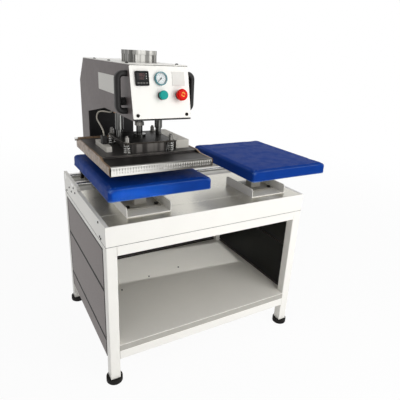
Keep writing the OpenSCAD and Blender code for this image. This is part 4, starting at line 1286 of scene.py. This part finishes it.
@dataclass
class PaddedTables(SubAssembly):
    """Two foam pads in coated cloth, blown up by a cloth simulation from a slightly smaller block."""

    pitch: float = 0.62
    corner: float = 0.013
    edge: float = 0.008
    edge_steps: int = 4
    draw: float = 0.0025
    crown: float = 0.0022
    inset: float = 0.003
    sink: float = 0.0006
    side_inset: float = 0.0006
    side_move: float = 0.0012
    voxel: float = 0.005
    pressure: float = 4.0
    frames: int = 20
    pinned: float = 0.004

    def block(self) -> bpy.types.Object:
        """Even mesh of a block with rounded edges in the left pad's place, a little smaller than the pad.

        Returns:
            The block.
        """
        low, high = (Vector(corner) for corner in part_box("left_pad"))
        size = high - low
        foot = seat(Vector(((low.x + high.x) / 2, (low.y + high.y) / 2, low.z)))
        pulls = [(self.side_inset, 0.0)]
        for i in range(self.edge_steps + 1):
            angle = math.pi / 2 * i / self.edge_steps
            rise = size.z - self.inset - self.edge * (1 - math.sin(angle))
            pulls.append((self.side_inset + self.edge * (1 - math.cos(angle)), rise))
        levels = []
        for pull, rise in pulls:
            levels.append((round_rectangle(size.x - 2 * pull, size.y - 2 * pull, self.corner), rise))
        form = Form()
        form.stacked(levels, foot)
        pad = form.bare("left_cushion")
        remesh = pad.modifiers.new("even", "REMESH")
        remesh.mode = "VOXEL"
        remesh.voxel_size = self.voxel
        pad.data = self.applied(pad)
        pad.modifiers.clear()
        return pad

    def draw_in(self, pad: bpy.types.Object) -> None:
        """Draws in the middle of each side, and lowers the top towards its rim.

        Args:
            pad: The even block.
        """
        low, high = (Vector(corner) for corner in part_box("left_pad"))
        middle, half = (low + high) / 2, (high - low) / 2
        for vert in pad.data.vertices:
            x, y = (vert.co.x - middle.x) / half.x, (vert.co.y - middle.y) / half.y
            share = (vert.co.z - low.z) / (high.z - low.z)
            pull = Vector((x**3 * (1 - y * y), y**3 * (1 - x * x), 0.0)) * self.draw
            vert.co -= pull + Vector((0.0, 0.0, self.crown * share * max(x * x, y * y) ** 2))

    def applied(self, pad: bpy.types.Object) -> bpy.types.Mesh:
        """Mesh of a pad with its modifiers worked in."""
        graph = bpy.context.evaluated_depsgraph_get()
        return bpy.data.meshes.new_from_object(pad.evaluated_get(graph))

    def blow_up(self, pad: bpy.types.Object) -> None:
        """Swells a pad as cloth under pressure, by no more than a small move.

        Args:
            pad: The drawn-in pad.
        """
        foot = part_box("left_pad")[0][2]
        start = [vert.co.copy() for vert in pad.data.vertices]
        held = pad.vertex_groups.new(name="held")
        held.add([i for i, point in enumerate(start) if point.z < foot + self.pinned], 1.0, "REPLACE")
        cloth = pad.modifiers.new("cloth", "CLOTH")
        cloth.settings.vertex_group_mass = "held"
        cloth.settings.use_pressure = True
        cloth.settings.uniform_pressure_force = self.pressure
        cloth.settings.effector_weights.gravity = 0.0
        for step in range(1, self.frames + 1):
            bpy.context.scene.frame_set(step)
        swollen = self.applied(pad)
        pad.modifiers.clear()
        pad.vertex_groups.clear()
        least = (-self.side_move, -self.side_move, -self.sink)
        most = (self.side_move, self.side_move, self.inset)
        for vert, rest, grown in zip(pad.data.vertices, start, swollen.vertices):
            move = [max(low, min(high, part)) for part, low, high in zip(grown.co - rest, least, most)]
            vert.co = rest + Vector(move)
            vert.co.z = max(vert.co.z, foot)
        bpy.data.meshes.remove(swollen)
        bpy.context.scene.frame_set(1)

    def finished(self, pad: bpy.types.Object, node: str) -> bpy.types.Object:
        """Covers one pad and sets it in the place of its node.

        Args:
            pad: The pad in its final form.
            node: CAD node that it stands for.

        Returns:
            The pad.
        """
        pad.data.shade_smooth()
        fine = pad.modifiers.new("fine", "SUBSURF")
        fine.levels = 1
        fine.render_levels = 1
        PAD_COVER.dress(pad)
        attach(pad, "stand")
        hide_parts(node)
        return pad

    def made(self) -> list[bpy.types.Object]:
        """Makes the left pad, and a copy of it for the right table.

        Returns:
            Both pads.
        """
        left = self.block()
        self.draw_in(left)
        self.blow_up(left)
        data = left.data.copy()
        data.transform(Matrix.Translation((self.pitch, 0.0, 0.0)))
        right = bpy.data.objects.new("right_cushion", data)
        bpy.context.scene.collection.objects.link(right)
        return [self.finished(left, "left_pad"), self.finished(right, "right_pad")]


@dataclass
class SuspensionCoils(SubAssembly):
    """Four wound springs between the lid and the carrier plate."""

    foot: float = 1.026
    height: float = 0.034
    half_x: float = 0.0905
    half_y: float = 0.093
    outer: float = 0.027
    wire: float = 0.0036
    wire_sides: int = 8
    curls: int = 5
    closed: float = 0.8
    closed_rise: float = 0.55
    steps: int = 24

    def rise(self, turns: float) -> float:
        """Height of the wire's middle.

        Args:
            turns: Turns from the foot, of which the first and the last are closed.

        Returns:
            Height above the spring's foot.
        """
        slow = self.wire * self.closed_rise
        free = self.height - self.wire - 2 * self.closed * slow
        low = min(turns, self.closed) * slow
        high = max(0.0, turns - (self.curls - self.closed)) * slow
        share = (turns - self.closed) / (self.curls - 2 * self.closed)
        return self.wire / 2 + low + high + free * min(1.0, max(0.0, share))

    def made(self) -> list[bpy.types.Object]:
        """Winds the four springs.

        Returns:
            The springs, as one piece.
        """
        form = Form()
        radius = (self.outer - self.wire) / 2
        coil = []
        for i in range(self.curls * self.steps + 1):
            turn = math.tau * i / self.steps
            coil.append(Vector((radius * math.cos(turn), radius * math.sin(turn), self.rise(i / self.steps))))
        for sx in (-1, 1):
            for sy in (-1, 1):
                middle = Vector((HEAD_X + sx * self.half_x, PLATEN_Y + sy * self.half_y, self.foot))
                form.tube([middle + point for point in coil], self.wire / 2, self.wire_sides)
        springs = form.piece("wound_springs", SPRING_WIRE, "spring_steel", "press")
        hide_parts("suspension_springs")
        return [springs]


@dataclass
class ReleaseSheet(SubAssembly):
    """Thin coated film drawn under the platen, up its sides and over the rod at the back."""

    width: float = 0.408
    depth: float = 0.474
    foot: float = 0.985
    top: float = 1.015
    lid_t: float = 0.008
    lid_front: float = 0.122
    lid_back: float = 0.026
    hem: float = 0.008
    hem_shares: tuple[float, ...] = (0.25, 0.6, 1.0)
    hem_up: float = 0.0002
    gap: float = 0.0005
    film: float = 0.0005
    # Angle to the metre, start and share of each wave in the loose sides
    waves: tuple[Spot, ...] = ((71.0, 0.0, 0.5), (163.0, 1.3, 0.3), (29.0, 0.4, 0.2))
    wave_out: float = 0.0007
    over: float = 0.0006
    front_slope: float = 0.03
    back_slope: float = 0.012
    bend: float = 0.001
    base_share: float = 0.985
    rows: int = 78
    wall_steps: int = 7
    base_steps: int = 12
    flap_inset: float = 0.002
    flap_steps: int = 40
    flap_height: float = 0.3
    flap_wave: float = 0.4
    flap_length: float = 0.075
    # Points of the flap round the rod, out from the platen's back and up from its top
    flap: tuple[Pair, ...] = (
        (0.0005, -0.02),
        (0.0005, -0.004),
        (-0.001, 0.004),
        (-0.0035, 0.0095),
        (-0.008, 0.0134),
        (-0.0125, 0.0146),
        (-0.017, 0.0134),
        (-0.0205, 0.0085),
        (-0.0212, 0.003),
    )

    def ripple(self, along: float, height: float) -> float:
        """How far the loose side waves outward, by the distance along it and the share of its height."""
        wave = sum(share * math.sin(along * angle + start) for angle, start, share in self.waves)
        return self.wave_out * (1.0 + wave) * math.sin(math.pi * min(1.0, height)) ** 0.5

    def lift(self, y: float) -> float:
        """How far the side stands above the platen's top.

        Args:
            y: Place from front to back, from the platen's middle.

        Returns:
            Height of the side's rim above the top.
        """
        front = self.lid_front - self.depth / 2
        back = self.depth / 2 - self.lid_back
        rise = min(1.0, max(0.0, (y - front + self.front_slope) / self.front_slope))
        fall = min(1.0, max(0.0, (back - y) / self.back_slope))
        return (self.lid_t + self.over) * min(rise, fall) + self.over

    def section(self, y: float) -> list[Vector]:
        """Film across the platen.

        Args:
            y: Place from front to back, from the platen's middle.

        Returns:
            Points from hem to hem.
        """
        half = self.width / 2 + self.gap
        under = self.foot - self.gap
        rim = self.top + self.lift(y)
        start = under + self.bend
        shares = [i / self.wall_steps for i in range(self.wall_steps + 1)]
        wall = [(half + self.ripple(y, share), start + (rim - start) * share) for share in shares]
        hem = [(half - self.hem * share, rim + self.hem_up) for share in self.hem_shares]
        right = [(half - self.bend, under), *wall, *hem]
        left = [(-x, z) for x, z in reversed(right)]
        spread = [2 * i / self.base_steps - 1 for i in range(self.base_steps + 1)]
        base = [(half * share * self.base_share, under) for share in spread]
        return [Vector((HEAD_X + x, PLATEN_Y + y, z)) for x, z in (*left, *base, *right)]

    def back_flap(self) -> list[list[Vector]]:
        """Rows of the flap that runs up the back and round the rod.

        Returns:
            Rows of points, from the foot up.
        """
        back = PLATEN_Y + self.depth / 2 + self.gap
        half = self.width / 2 - self.flap_inset
        spread = [half * (2 * i / self.flap_steps - 1) for i in range(self.flap_steps + 1)]
        waved = [(x, back + self.ripple(x, self.flap_height) * self.flap_wave) for x in spread]
        profile = [(0.0, self.foot - self.gap), *((out, self.top + up) for out, up in self.flap)]
        return [[Vector((HEAD_X + x, y + out, z)) for x, y in waved] for out, z in profile]

    def made(self) -> list[bpy.types.Object]:
        """Lays the film, with its waves, and gives it its thickness.

        Returns:
            The film.
        """
        form = Form()
        form.grid([self.section(self.depth * (i / self.rows - 0.5)) for i in range(self.rows + 1)])
        form.grid(self.back_flap())
        sheet = form.piece("film_sheet", RELEASE_FILM, "release_film", "press")
        skin = sheet.modifiers.new("film", "SOLIDIFY")
        skin.thickness = self.film
        skin.offset = 0.0
        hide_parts("release_sheet")
        return [sheet]


# Stand, base, head and platen


@dataclass(frozen=True)
class SocketScrew:
    """Screw head with a socket, given by the shares of its radius and height at each ring."""

    radius: float
    height: float
    shares: tuple[Pair, ...]
    sides: int = 18

    def set_in(self, form: Form, place: Matrix) -> None:
        """Adds one head to a mesh, in its place."""
        rings = [(self.radius * across, self.height * up) for across, up in self.shares]
        form.turned(rings, place, self.sides)


LOW_HEAD = SocketScrew(
    0.0052, 0.0026, ((1.0, 0.0), (1.0, 0.2), (0.9, 0.6), (0.7, 0.9), (0.45, 1.0), (0.42, 0.4), (0.1, 0.35))
)
CAP_HEAD = SocketScrew(
    0.0046, 0.0046, ((1.0, 0.0), (1.0, 0.5), (0.85, 0.62), (0.5, 0.62), (0.46, 0.2), (0.1, 0.2))
)


@dataclass(frozen=True)
class Wall:
    """Upright outer face of the stand, which takes flat strips."""

    middle: Spot
    across: Spot
    half: float
    let_in: float = 0.0012
    corner: float = 0.0003

    def strip(self, form: Form, ends: Pair, rise: Pair, out: float) -> None:
        """Adds a strip that is let in a little.

        Args:
            form: Mesh that takes the strip.
            ends: Its two ends from the middle of the wall.
            rise: Heights of its foot and top.
            out: How far its face stands out of the wall.
        """
        along = Vector(self.across)
        inward = Vector((0, 0, 1)).cross(along)
        spot = Vector(self.middle) + along * (sum(ends) / 2) + inward * (self.let_in - out)
        spot.z = sum(rise) / 2
        shape = round_rectangle(ends[1] - ends[0], rise[1] - rise[0], self.corner, steps=2)
        form.flat(shape, seat(spot, along, (0, 0, 1)), self.let_in)


@dataclass
class StandFrame(SubAssembly):
    """Tube frame with its boards, feet and shelf."""

    coats: ClassVar[Coats] = {
        WHITE_ENAMEL: ("stand_legs", "stand_rails"),
        FOOT_RUBBER: ("feet",),
        PANEL_BOARD: ("panel_boards",),
        SHELF_SHEET: ("shelf",),
    }
    front: float = -0.332372
    rear: float = 0.401628
    tube: float = 0.045
    board_foot: float = 0.123
    board_joints: Pair = (0.211, 0.459)
    board_top: float = 0.634
    facing_lap: float = 0.0005
    facing_top: float = 0.649
    facing_out: float = 0.0004
    seal: float = 0.007
    # Width of the black strips of painted shade, and how far they stand out
    seal_out: float = 0.0006
    joint_out: float = 0.0005
    seam_z: float = 0.679
    seam_half: float = 0.0009
    seam_out: float = 0.0003
    trim: Pair = (0.1685, 0.1965)
    trim_out: float = 0.0004
    shelf_top: float = 0.2
    # Places from side to side and from front to back
    screws: tuple[Pair, ...] = ((-0.3212, 0.0628), (-0.1406, 0.1278), (0.0549, 0.1488))

    def walls(self) -> tuple[Wall, Wall, Wall, Wall]:
        """Left, right, rear and front faces of the stand.

        Returns:
            The four walls in this order.
        """
        y = (self.front + self.rear) / 2
        half_depth = (self.rear - self.front) / 2
        return (
            Wall((STAND_X - STAND_HALF_WIDTH, y, 0.0), (0.0, -1.0, 0.0), half_depth),
            Wall((STAND_X + STAND_HALF_WIDTH, y, 0.0), (0.0, 1.0, 0.0), half_depth),
            Wall((STAND_X, self.rear, 0.0), (-1.0, 0.0, 0.0), STAND_HALF_WIDTH),
            Wall((STAND_X, self.front, 0.0), (1.0, 0.0, 0.0), STAND_HALF_WIDTH),
        )

    def board_edging(self) -> list[bpy.types.Object]:
        """Board strips on the top rails, with black strips of painted shade round the boards and in their
        joints.

        Returns:
            The facings and the seals.
        """
        facings, shade_strips = Form(), Form()
        for wall in self.walls()[:3]:
            reach = wall.half - self.tube
            whole = (-reach, reach)
            wall.strip(facings, whole, (self.board_top - self.facing_lap, self.facing_top), self.facing_out)
            wall.strip(shade_strips, whole, (self.facing_top, self.facing_top + self.seal), self.seal_out)
            for joint in self.board_joints:
                wall.strip(shade_strips, whole, (joint - self.seal, joint + self.seal), self.joint_out)
            for end in (-reach, reach - self.seal):
                wall.strip(shade_strips, (end, end + self.seal), (self.board_foot, self.facing_top), self.seal_out)
        return [
            facings.piece("board_facings", PANEL_BOARD, "board", "stand"),
            shade_strips.piece("board_seals", SHADE_STRIP_BLACK, "black_plastic", "stand"),
        ]

    def seam_and_trim(self) -> list[bpy.types.Object]:
        """Grey joint under the base box, and the grey strip on the front of the shelf.

        Returns:
            The joint and the strip.
        """
        seam, trim = Form(), Form()
        walls = self.walls()
        for wall in walls:
            rise = (self.seam_z - self.seam_half, self.seam_z + self.seam_half)
            wall.strip(seam, (-wall.half, wall.half), rise, self.seam_out)
        front = walls[-1]
        front.strip(trim, (self.tube - front.half, front.half - self.tube), self.trim, self.trim_out)
        return [
            seam.piece("base_seam", SEAM_GREY, "black_plastic", "stand"),
            trim.piece("shelf_trim", SHELF_TRIM, "shelf_sheet", "stand"),
        ]

    def shelf_screws(self) -> bpy.types.Object:
        """Low round heads with a socket, where the shelf is held to the cross tubes.

        Returns:
            The screws, as one piece.
        """
        form = Form()
        for x, y in self.screws:
            LOW_HEAD.set_in(form, seat(Vector((x, y, self.shelf_top))))
        return form.piece("shelf_screws", DARK_STEEL, "dark_steel", "stand")

    def made(self) -> list[bpy.types.Object]:
        """Adds the edging of the boards, the seam, the trim and the shelf screws."""
        return [*self.board_edging(), *self.seam_and_trim(), self.shelf_screws()]


@dataclass
class BaseDeck(SubAssembly):
    """White base box with its deck, shafts and table carriers."""

    coats: ClassVar[Coats] = {
        WHITE_ENAMEL: ("base_skirt", "end_plates", "rear_tray", "deck_beams", "table_brackets"),
        POST_ENAMEL: ("table_posts",),
        DECK_SHEET: ("deck_plate",),
        CHROME: ("guide_shafts",),
        DARK_STEEL: ("stop_collars", "base_screws", "post_bolts"),
    }
    end_t: float = 0.015
    deck_z: float = 0.765
    let_in: float = 0.0002
    joint_y: float = -0.223
    joint_gap: float = 0.001
    joint_width: float = 0.0016
    joint_corner: float = 0.0006
    joint_height: float = 0.0005
    # Places from front to back and heights
    screws: tuple[Pair, ...] = ((0.156, 0.741), (0.282, 0.729), (0.186, 0.756), (-0.27, 0.692))

    def clamp_screws(self) -> bpy.types.Object:
        """Socket screws in the end plates that clamp the shafts and the corners.

        Returns:
            The screws, as one piece.
        """
        form = Form()
        for side in (-1, 1):
            for y, z in self.screws:
                spot = Vector((STAND_X + side * (STAND_HALF_WIDTH - self.let_in), y, z))
                CAP_HEAD.set_in(form, seat(spot, (0, side, 0), (0, 0, 1)))
        return form.piece("clamp_screws", DARK_STEEL, "dark_steel", "stand")

    def deck_joint(self) -> bpy.types.Object:
        """Raised edge where the two sheets of the deck lap, in a pale finish that paints the highlight along
        the lap.

        Returns:
            The raised edge.
        """
        length = 2 * (STAND_HALF_WIDTH - self.end_t) - self.joint_gap
        spot = Vector((STAND_X, self.joint_y, self.deck_z - self.let_in))
        form = Form()
        shape = round_rectangle(length, self.joint_width, self.joint_corner, steps=2)
        form.flat(shape, seat(spot), self.joint_height)
        return form.piece("deck_joint", PALE_PLATE, "deck_sheet", "stand")

    def made(self) -> list[bpy.types.Object]:
        """Adds the clamp screws and the joint in the deck."""
        return [self.clamp_screws(), self.deck_joint()]


@dataclass
class PressHead(SubAssembly):
    """Sliding head with its covers, frame, handles and air cylinder."""

    coats: ClassVar[Coats] = {
        GREY_ENAMEL: ("left_side_cover", "right_side_cover"),
        WHITE_ENAMEL: ("top_cover", "rear_cover"),
        BLACK_ENAMEL: ("carriage_plate", "frame_plates", "throat_plate", "cylinder_plate"),
        CAST_ALUMINIUM: ("bearing_blocks", "valve_block"),
        DARK_STEEL: ("cover_screws",),
        BLACK_PLASTIC: ("left_handle", "right_handle", "regulator_knob", "mains_gland"),
        BRONZE: ("guide_bushes",),
        CYLINDER_SKIN: ("cylinder_barrel", "cylinder_caps"),
        BRASS: ("air_inlet",),
    }
    rod_half: float = 0.084
    sleeve_foot: float = 1.096
    sleeve_length: float = 0.0665
    sleeve_radius: float = 0.0158
    sleeve_sides: int = 32
    chamfer: float = 0.0016
    bore: float = 0.0125

    def made(self) -> list[bpy.types.Object]:
        """Hangs the long collars of the guide bushes round the guide rods, under the arm.

        Returns:
            The collars, as one piece.
        """
        outer, top = self.sleeve_radius, self.sleeve_length
        outside = ((outer - self.chamfer, 0.0), (outer, self.chamfer), (outer, top))
        profile = ((self.bore, 0.0), *outside, (self.bore, top))
        form = Form()
        for side in (-1, 1):
            spot = Vector((HEAD_X + side * self.rod_half, PISTON_Y, self.sleeve_foot))
            form.turned(profile, seat(spot), self.sleeve_sides, bored=True)
        return [form.piece("rod_sleeves", ROD_CHROME, "hard_chrome", "head")]


@dataclass(frozen=True)
class DigitRow:
    """Row of digits on the controller, placed from the controller's middle."""

    first: float
    step: float
    up: float
    size: float


@dataclass
class ControlPanel(SubAssembly):
    """Leaning front panel with the controller, the gauge and the two buttons."""

    coats: ClassVar[Coats] = {
        WHITE_ENAMEL: ("control_panel",),
        CASE_PLASTIC: ("controller",),
        GAUGE_CASE: ("gauge_body",),
        CLEAR_LENS: ("gauge_lens",),
        PRINT_BLACK: ("gauge_needle",),
        PALE_PLATE: ("blank_plates",),
        BLACK_PLASTIC: ("button_collars",),
        GREEN_CAP: ("start_button",),
        RED_CAP: ("stop_button",),
    }
    # Column and line of each bar in quarters of the digit's height, and whether it stands upright
    bars: ClassVar[dict[str, tuple[int, int, bool]]] = {
        "a": (0, 2, False),
        "b": (1, 1, True),
        "c": (1, -1, True),
        "d": (0, -2, False),
        "e": (-1, -1, True),
        "f": (-1, 1, True),
        "g": (0, 0, False),
    }
    lean: float = math.radians(13.0)
    half_plate: float = 0.0015
    pitch: float = 0.069
    top_row: float = 0.046
    button_row: float = -0.011
    dial_out: float = 0.00402
    dial_radius: float = 0.0197
    dial_sides: int = 64
    dial_t: float = 0.00012
    dial_start: float = math.radians(225.0)
    dial_turn: float = math.radians(270.0)
    dial_lines: int = 50
    long_every: int = 5
    dial_numbers: int = 5
    long_line: Pair = (0.0032, 0.0006)
    short_line: Pair = (0.0018, 0.00035)
    line_reach: float = 0.0182
    line_up: float = 0.00014
    line_t: float = 0.00005
    line_corner: float = 0.0001
    number_reach: float = 0.0117
    number_size: float = 0.0042
    number_up: float = 0.00018
    window_out: float = 0.00552
    window_up: float = 0.006
    window: Spot = (0.0394, 0.0254, 0.0026)
    window_t: float = 0.0003
    digits: tuple[str, ...] = ("bc", "abcdefg", "abcdef")
    digit_rows: tuple[DigitRow, ...] = (
        DigitRow(-0.0115, 0.0085, 0.0115, 0.0095),
        DigitRow(-0.0105, 0.0068, -0.0005, 0.0068),
    )
    digit_up: float = 0.00032
    digit_t: float = 0.00006
    bar_length: float = 0.42
    bar_width: float = 0.11
    bar_corner: float = 0.45
    lamp_spot: Pair = (0.0155, 0.0148)
    lamp_step: float = 0.0075
    lamp_count: int = 3
    lamp_rings: tuple[Pair, ...] = ((0.0011, 0.0), (0.0011, 0.0003), (0.0006, 0.0006))
    lamp_sides: int = 12
    bezel_out: float = 0.007
    key_spot: Pair = (-0.0153, -0.0155)
    key_step: float = 0.0102
    key_count: int = 4
    key: Spot = (0.0076, 0.0046, 0.0012)
    key_t: float = 0.0006
    stop_out: float = 0.0326
    arrow_sink: float = 0.00022
    arrow_radius: float = 0.0062
    arrow_turn: float = math.radians(150.0)
    arrow_steps: int = 14
    arrow_half: float = 0.0013
    tip_steps: int = 5
    tip_half: float = 0.0028

    def on_panel(self, across: float, up: float, out: float, turn: float = 0.0) -> Matrix:
        """Frame of a piece on the panel's face.

        Args:
            across: Distance from the panel's middle to the right.
            up: Distance from its middle towards the top.
            out: Distance from its face.
            turn: Turn about the outward direction.

        Returns:
            Matrix from the piece's own frame to the shared one.
        """
        low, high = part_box("control_panel")
        upward = Vector((0.0, math.sin(self.lean), math.cos(self.lean)))
        outward = Vector((0.0, -math.cos(self.lean), math.sin(self.lean)))
        middle = (Vector(low) + Vector(high)) / 2 + outward * (self.half_plate + out)
        upright = seat(middle + upward * up + Vector((across, 0.0, 0.0)), (1, 0, 0), upward)
        return upright @ Matrix.Rotation(turn, 4, "Z")

    def on_dial(self, share: float, reach: float, up: float, turned: bool = False) -> Matrix:
        """Frame of a mark on the dial.

        Args:
            share: Share of the dial's whole turn.
            reach: Distance from the dial's middle.
            up: Distance from the dial's foot.
            turned: Whether the mark points away from the middle.

        Returns:
            Matrix from the mark's own frame to the shared one.
        """
        angle = self.dial_start - self.dial_turn * share
        across, rise = reach * math.cos(angle), reach * math.sin(angle)
        return self.on_panel(across, self.top_row + rise, self.dial_out + up, angle if turned else 0.0)

    def dial(self) -> list[bpy.types.Object]:
        """White dial of the gauge with its lines and plain numbers.

        Returns:
            The dial and its marks.
        """
        face = Form()
        place = self.on_panel(0.0, self.top_row, self.dial_out)
        face.flat(around(self.dial_radius, self.dial_sides), place, self.dial_t)
        marks = Form()
        for i in range(self.dial_lines + 1):
            length, wide = self.short_line if i % self.long_every else self.long_line
            place = self.on_dial(i / self.dial_lines, self.line_reach - length / 2, self.line_up, turned=True)
            marks.flat(round_rectangle(length, wide, self.line_corner, steps=1), place, self.line_t)
        for i in range(self.dial_numbers + 1):
            place = self.on_dial(i / self.dial_numbers, self.number_reach, self.number_up)
            marks.figure(str(2 * i), self.number_size, place)
        return [
            face.piece("gauge_dial", DIAL_WHITE, "plate_pale", "head"),
            marks.piece("gauge_marks", PRINT_BLACK, "black_plastic", "head"),
        ]

    def digit(self, form: Form, lit: str, across: float, row: DigitRow) -> None:
        """Adds one digit of seven bars.

        Args:
            form: Mesh that takes the bars.
            lit: Letters of the bars that are lit, from a at the top round to g in the middle.
            across: Middle of the digit from the controller's middle.
            row: Row in which it stands.
        """
        half = row.size / 4
        long, slim = row.size * self.bar_length, row.size * self.bar_width
        for letter in lit:
            column, line, upright = self.bars[letter]
            shape = (slim, long) if upright else (long, slim)
            spot = (across + column * half - self.pitch, row.up + line * half + self.top_row)
            place = self.on_panel(*spot, self.window_out + self.digit_up)
            form.flat(round_rectangle(*shape, slim * self.bar_corner, steps=2), place, self.digit_t)

    def controller_marks(self) -> list[bpy.types.Object]:
        """Dark window of the controller with its digits, lamps and keys.

        Returns:
            The window, the digits, the lamps and the keys.
        """
        window, digits, lamps, keys = Form(), Form(), Form(), Form()
        place = self.on_panel(-self.pitch, self.top_row + self.window_up, self.window_out)
        window.flat(round_rectangle(*self.window), place, self.window_t)
        for i, lit in enumerate(self.digits):
            for row in self.digit_rows:
                self.digit(digits, lit, row.first + row.step * i, row)
        across, up = self.lamp_spot
        for i in range(self.lamp_count):
            spot = (across - self.pitch, self.top_row + up - self.lamp_step * i)
            place = self.on_panel(*spot, self.window_out + self.window_t)
            lamps.turned(self.lamp_rings, place, self.lamp_sides)
        across, up = self.key_spot
        for i in range(self.key_count):
            place = self.on_panel(across + self.key_step * i - self.pitch, self.top_row + up, self.bezel_out)
            keys.flat(round_rectangle(*self.key), place, self.key_t)
        return [
            window.piece("controller_window", DARK_WINDOW, "controller_plastic", "head"),
            digits.piece("controller_digits", DIGIT_RED, "red_plastic", "head"),
            lamps.piece("controller_lamps", LAMP_PALE, "plate_pale", "head"),
            keys.piece("controller_keys", PRINT_GREY, "controller_plastic", "head"),
        ]

    def stop_arrows(self) -> bpy.types.Object:
        """Two bent arrows on the stop button's cap that show its turn to release.

        Returns:
            The arrows, as one piece.
        """
        form = Form()
        cap = self.on_panel(self.pitch, self.button_row, self.stop_out - self.arrow_sink)
        for start in (0.0, math.pi):
            rows = []
            for i in range(self.arrow_steps + 1):
                angle = start + self.arrow_turn * i / self.arrow_steps
                left = self.arrow_steps - i
                half = self.arrow_half if left > self.tip_steps else self.tip_half * left / self.tip_steps
                heading = Vector((math.cos(angle), math.sin(angle), 0.0))
                rows.append([cap @ (heading * (self.arrow_radius + side * half)) for side in (-1, 1)])
            form.grid(rows)
        return form.piece("stop_arrows", ARROW_YELLOW, "red_plastic", "stop")

    def made(self) -> list[bpy.types.Object]:
        """Adds what is printed and lit on the panel."""
        return [*self.dial(), *self.controller_marks(), self.stop_arrows()]


@dataclass
class PlatenGroup(SubAssembly):
    """Heated platen with its carrier, lid, boxes and scale, which the cylinder moves."""

    coats: ClassVar[Coats] = {
        SCALE_STRIP: ("ruler_strip",),
        ROD_CHROME: ("piston_rod", "guide_rods"),
        CARRIER_STEEL: ("carrier_plate",),
        SAWN_BLOCK: ("pressure_block",),
        STUD_STEEL: ("suspension_bolts",),
        PLATEN_CASTING: ("heating_platen",),
        LID_BOARD: ("platen_lid",),
        CHROME: ("sheet_rod",),
        BOX_WHITE: ("terminal_boxes",),
        BLACK_PLASTIC: ("cable_block",),
    }
    front: float = -0.401872
    print_out: float = 0.00006
    number_z: float = 0.9962
    number_size: float = 0.0105
    narrow: float = 0.72
    box_middle: Spot = (-0.141628, -0.112372, 1.0395)
    box_half_length: float = 0.12
    box_half_height: float = 0.0165
    ribs: int = 7
    rib_pitch: float = 0.0075
    rib_width: float = 0.003
    rib_corner: float = 0.0014
    rib_t: float = 0.0012
    rib_sink: float = 0.0004
    rib_ends: Pair = (0.006, 0.008)

    def box_ribs(self) -> bpy.types.Object:
        """Pressed ribs over the top and the front of the terminal box.

        Returns:
            The ribs, as one piece.
        """
        height = 2 * self.box_half_height - self.rib_ends[0]
        length = 2 * self.box_half_length - self.rib_ends[1]
        upright = round_rectangle(self.rib_width, height, self.rib_corner)
        lying = round_rectangle(self.rib_width, length, self.rib_corner)
        form = Form()
        for i in range(self.ribs):
            middle = Vector(self.box_middle)
            middle.x += (i - (self.ribs - 1) / 2) * self.rib_pitch
            front = middle + Vector((0.0, self.rib_sink - self.box_half_length, 0.0))
            above = middle + Vector((0.0, 0.0, self.box_half_height - self.rib_sink))
            form.flat(upright, facing_front(front), self.rib_t)
            form.flat(lying, seat(above), self.rib_t)
        return form.piece("box_ribs", BOX_WHITE, "box_white", "press")

    def numbers(self, name: str, first: int, last: int, ink: Finish) -> bpy.types.Object:
        """Centimetre numbers on a stretch of the scale, with narrow type from 10 on.

        Args:
            name: Name of the piece.
            first: First number.
            last: Last number.
            ink: Look of the print.

        Returns:
            The printed numbers.
        """
        form = Form()
        for i in range(first, last + 1):
            spot = Vector((SCALE_LEFT + i * SCALE_STEP, self.front - self.print_out, self.number_z))
            narrowed = Matrix.Diagonal((1.0 if i < 10 else self.narrow, 1.0, 1.0, 1.0))
            form.figure(str(i), self.number_size, facing_front(spot) @ narrowed)
        return form.piece(name, ink, "black_plastic", "press")

    def made(self) -> list[bpy.types.Object]:
        """Adds the ribs of the terminal box and prints the scale.

        Returns:
            The ribs and both stretches of numbers.
        """
        half = SCALE_MARKS // 2
        low = self.numbers("scale_numbers_low", 1, half, PRINT_GREY)
        high = self.numbers("scale_numbers_high", half + 1, SCALE_MARKS, PRINT_PALE)
        return [self.box_ribs(), low, high]


def main() -> None:
    """Builds the studio and the sub-assemblies in order."""
    logging.basicConfig(level=logging.INFO, format="%(name)s: %(message)s")
    Studio().build()
    soft = (HeaterCable(), PaddedTables(), SuspensionCoils(), ReleaseSheet())
    rigid = (StandFrame(), BaseDeck(), PressHead(), ControlPanel(), PlatenGroup())
    for group in (*soft, *rigid):
        for piece in group.build():
            LOG.info("%s: %s", type(group).__name__, piece.name)


if __name__ == "__main__":
    main()
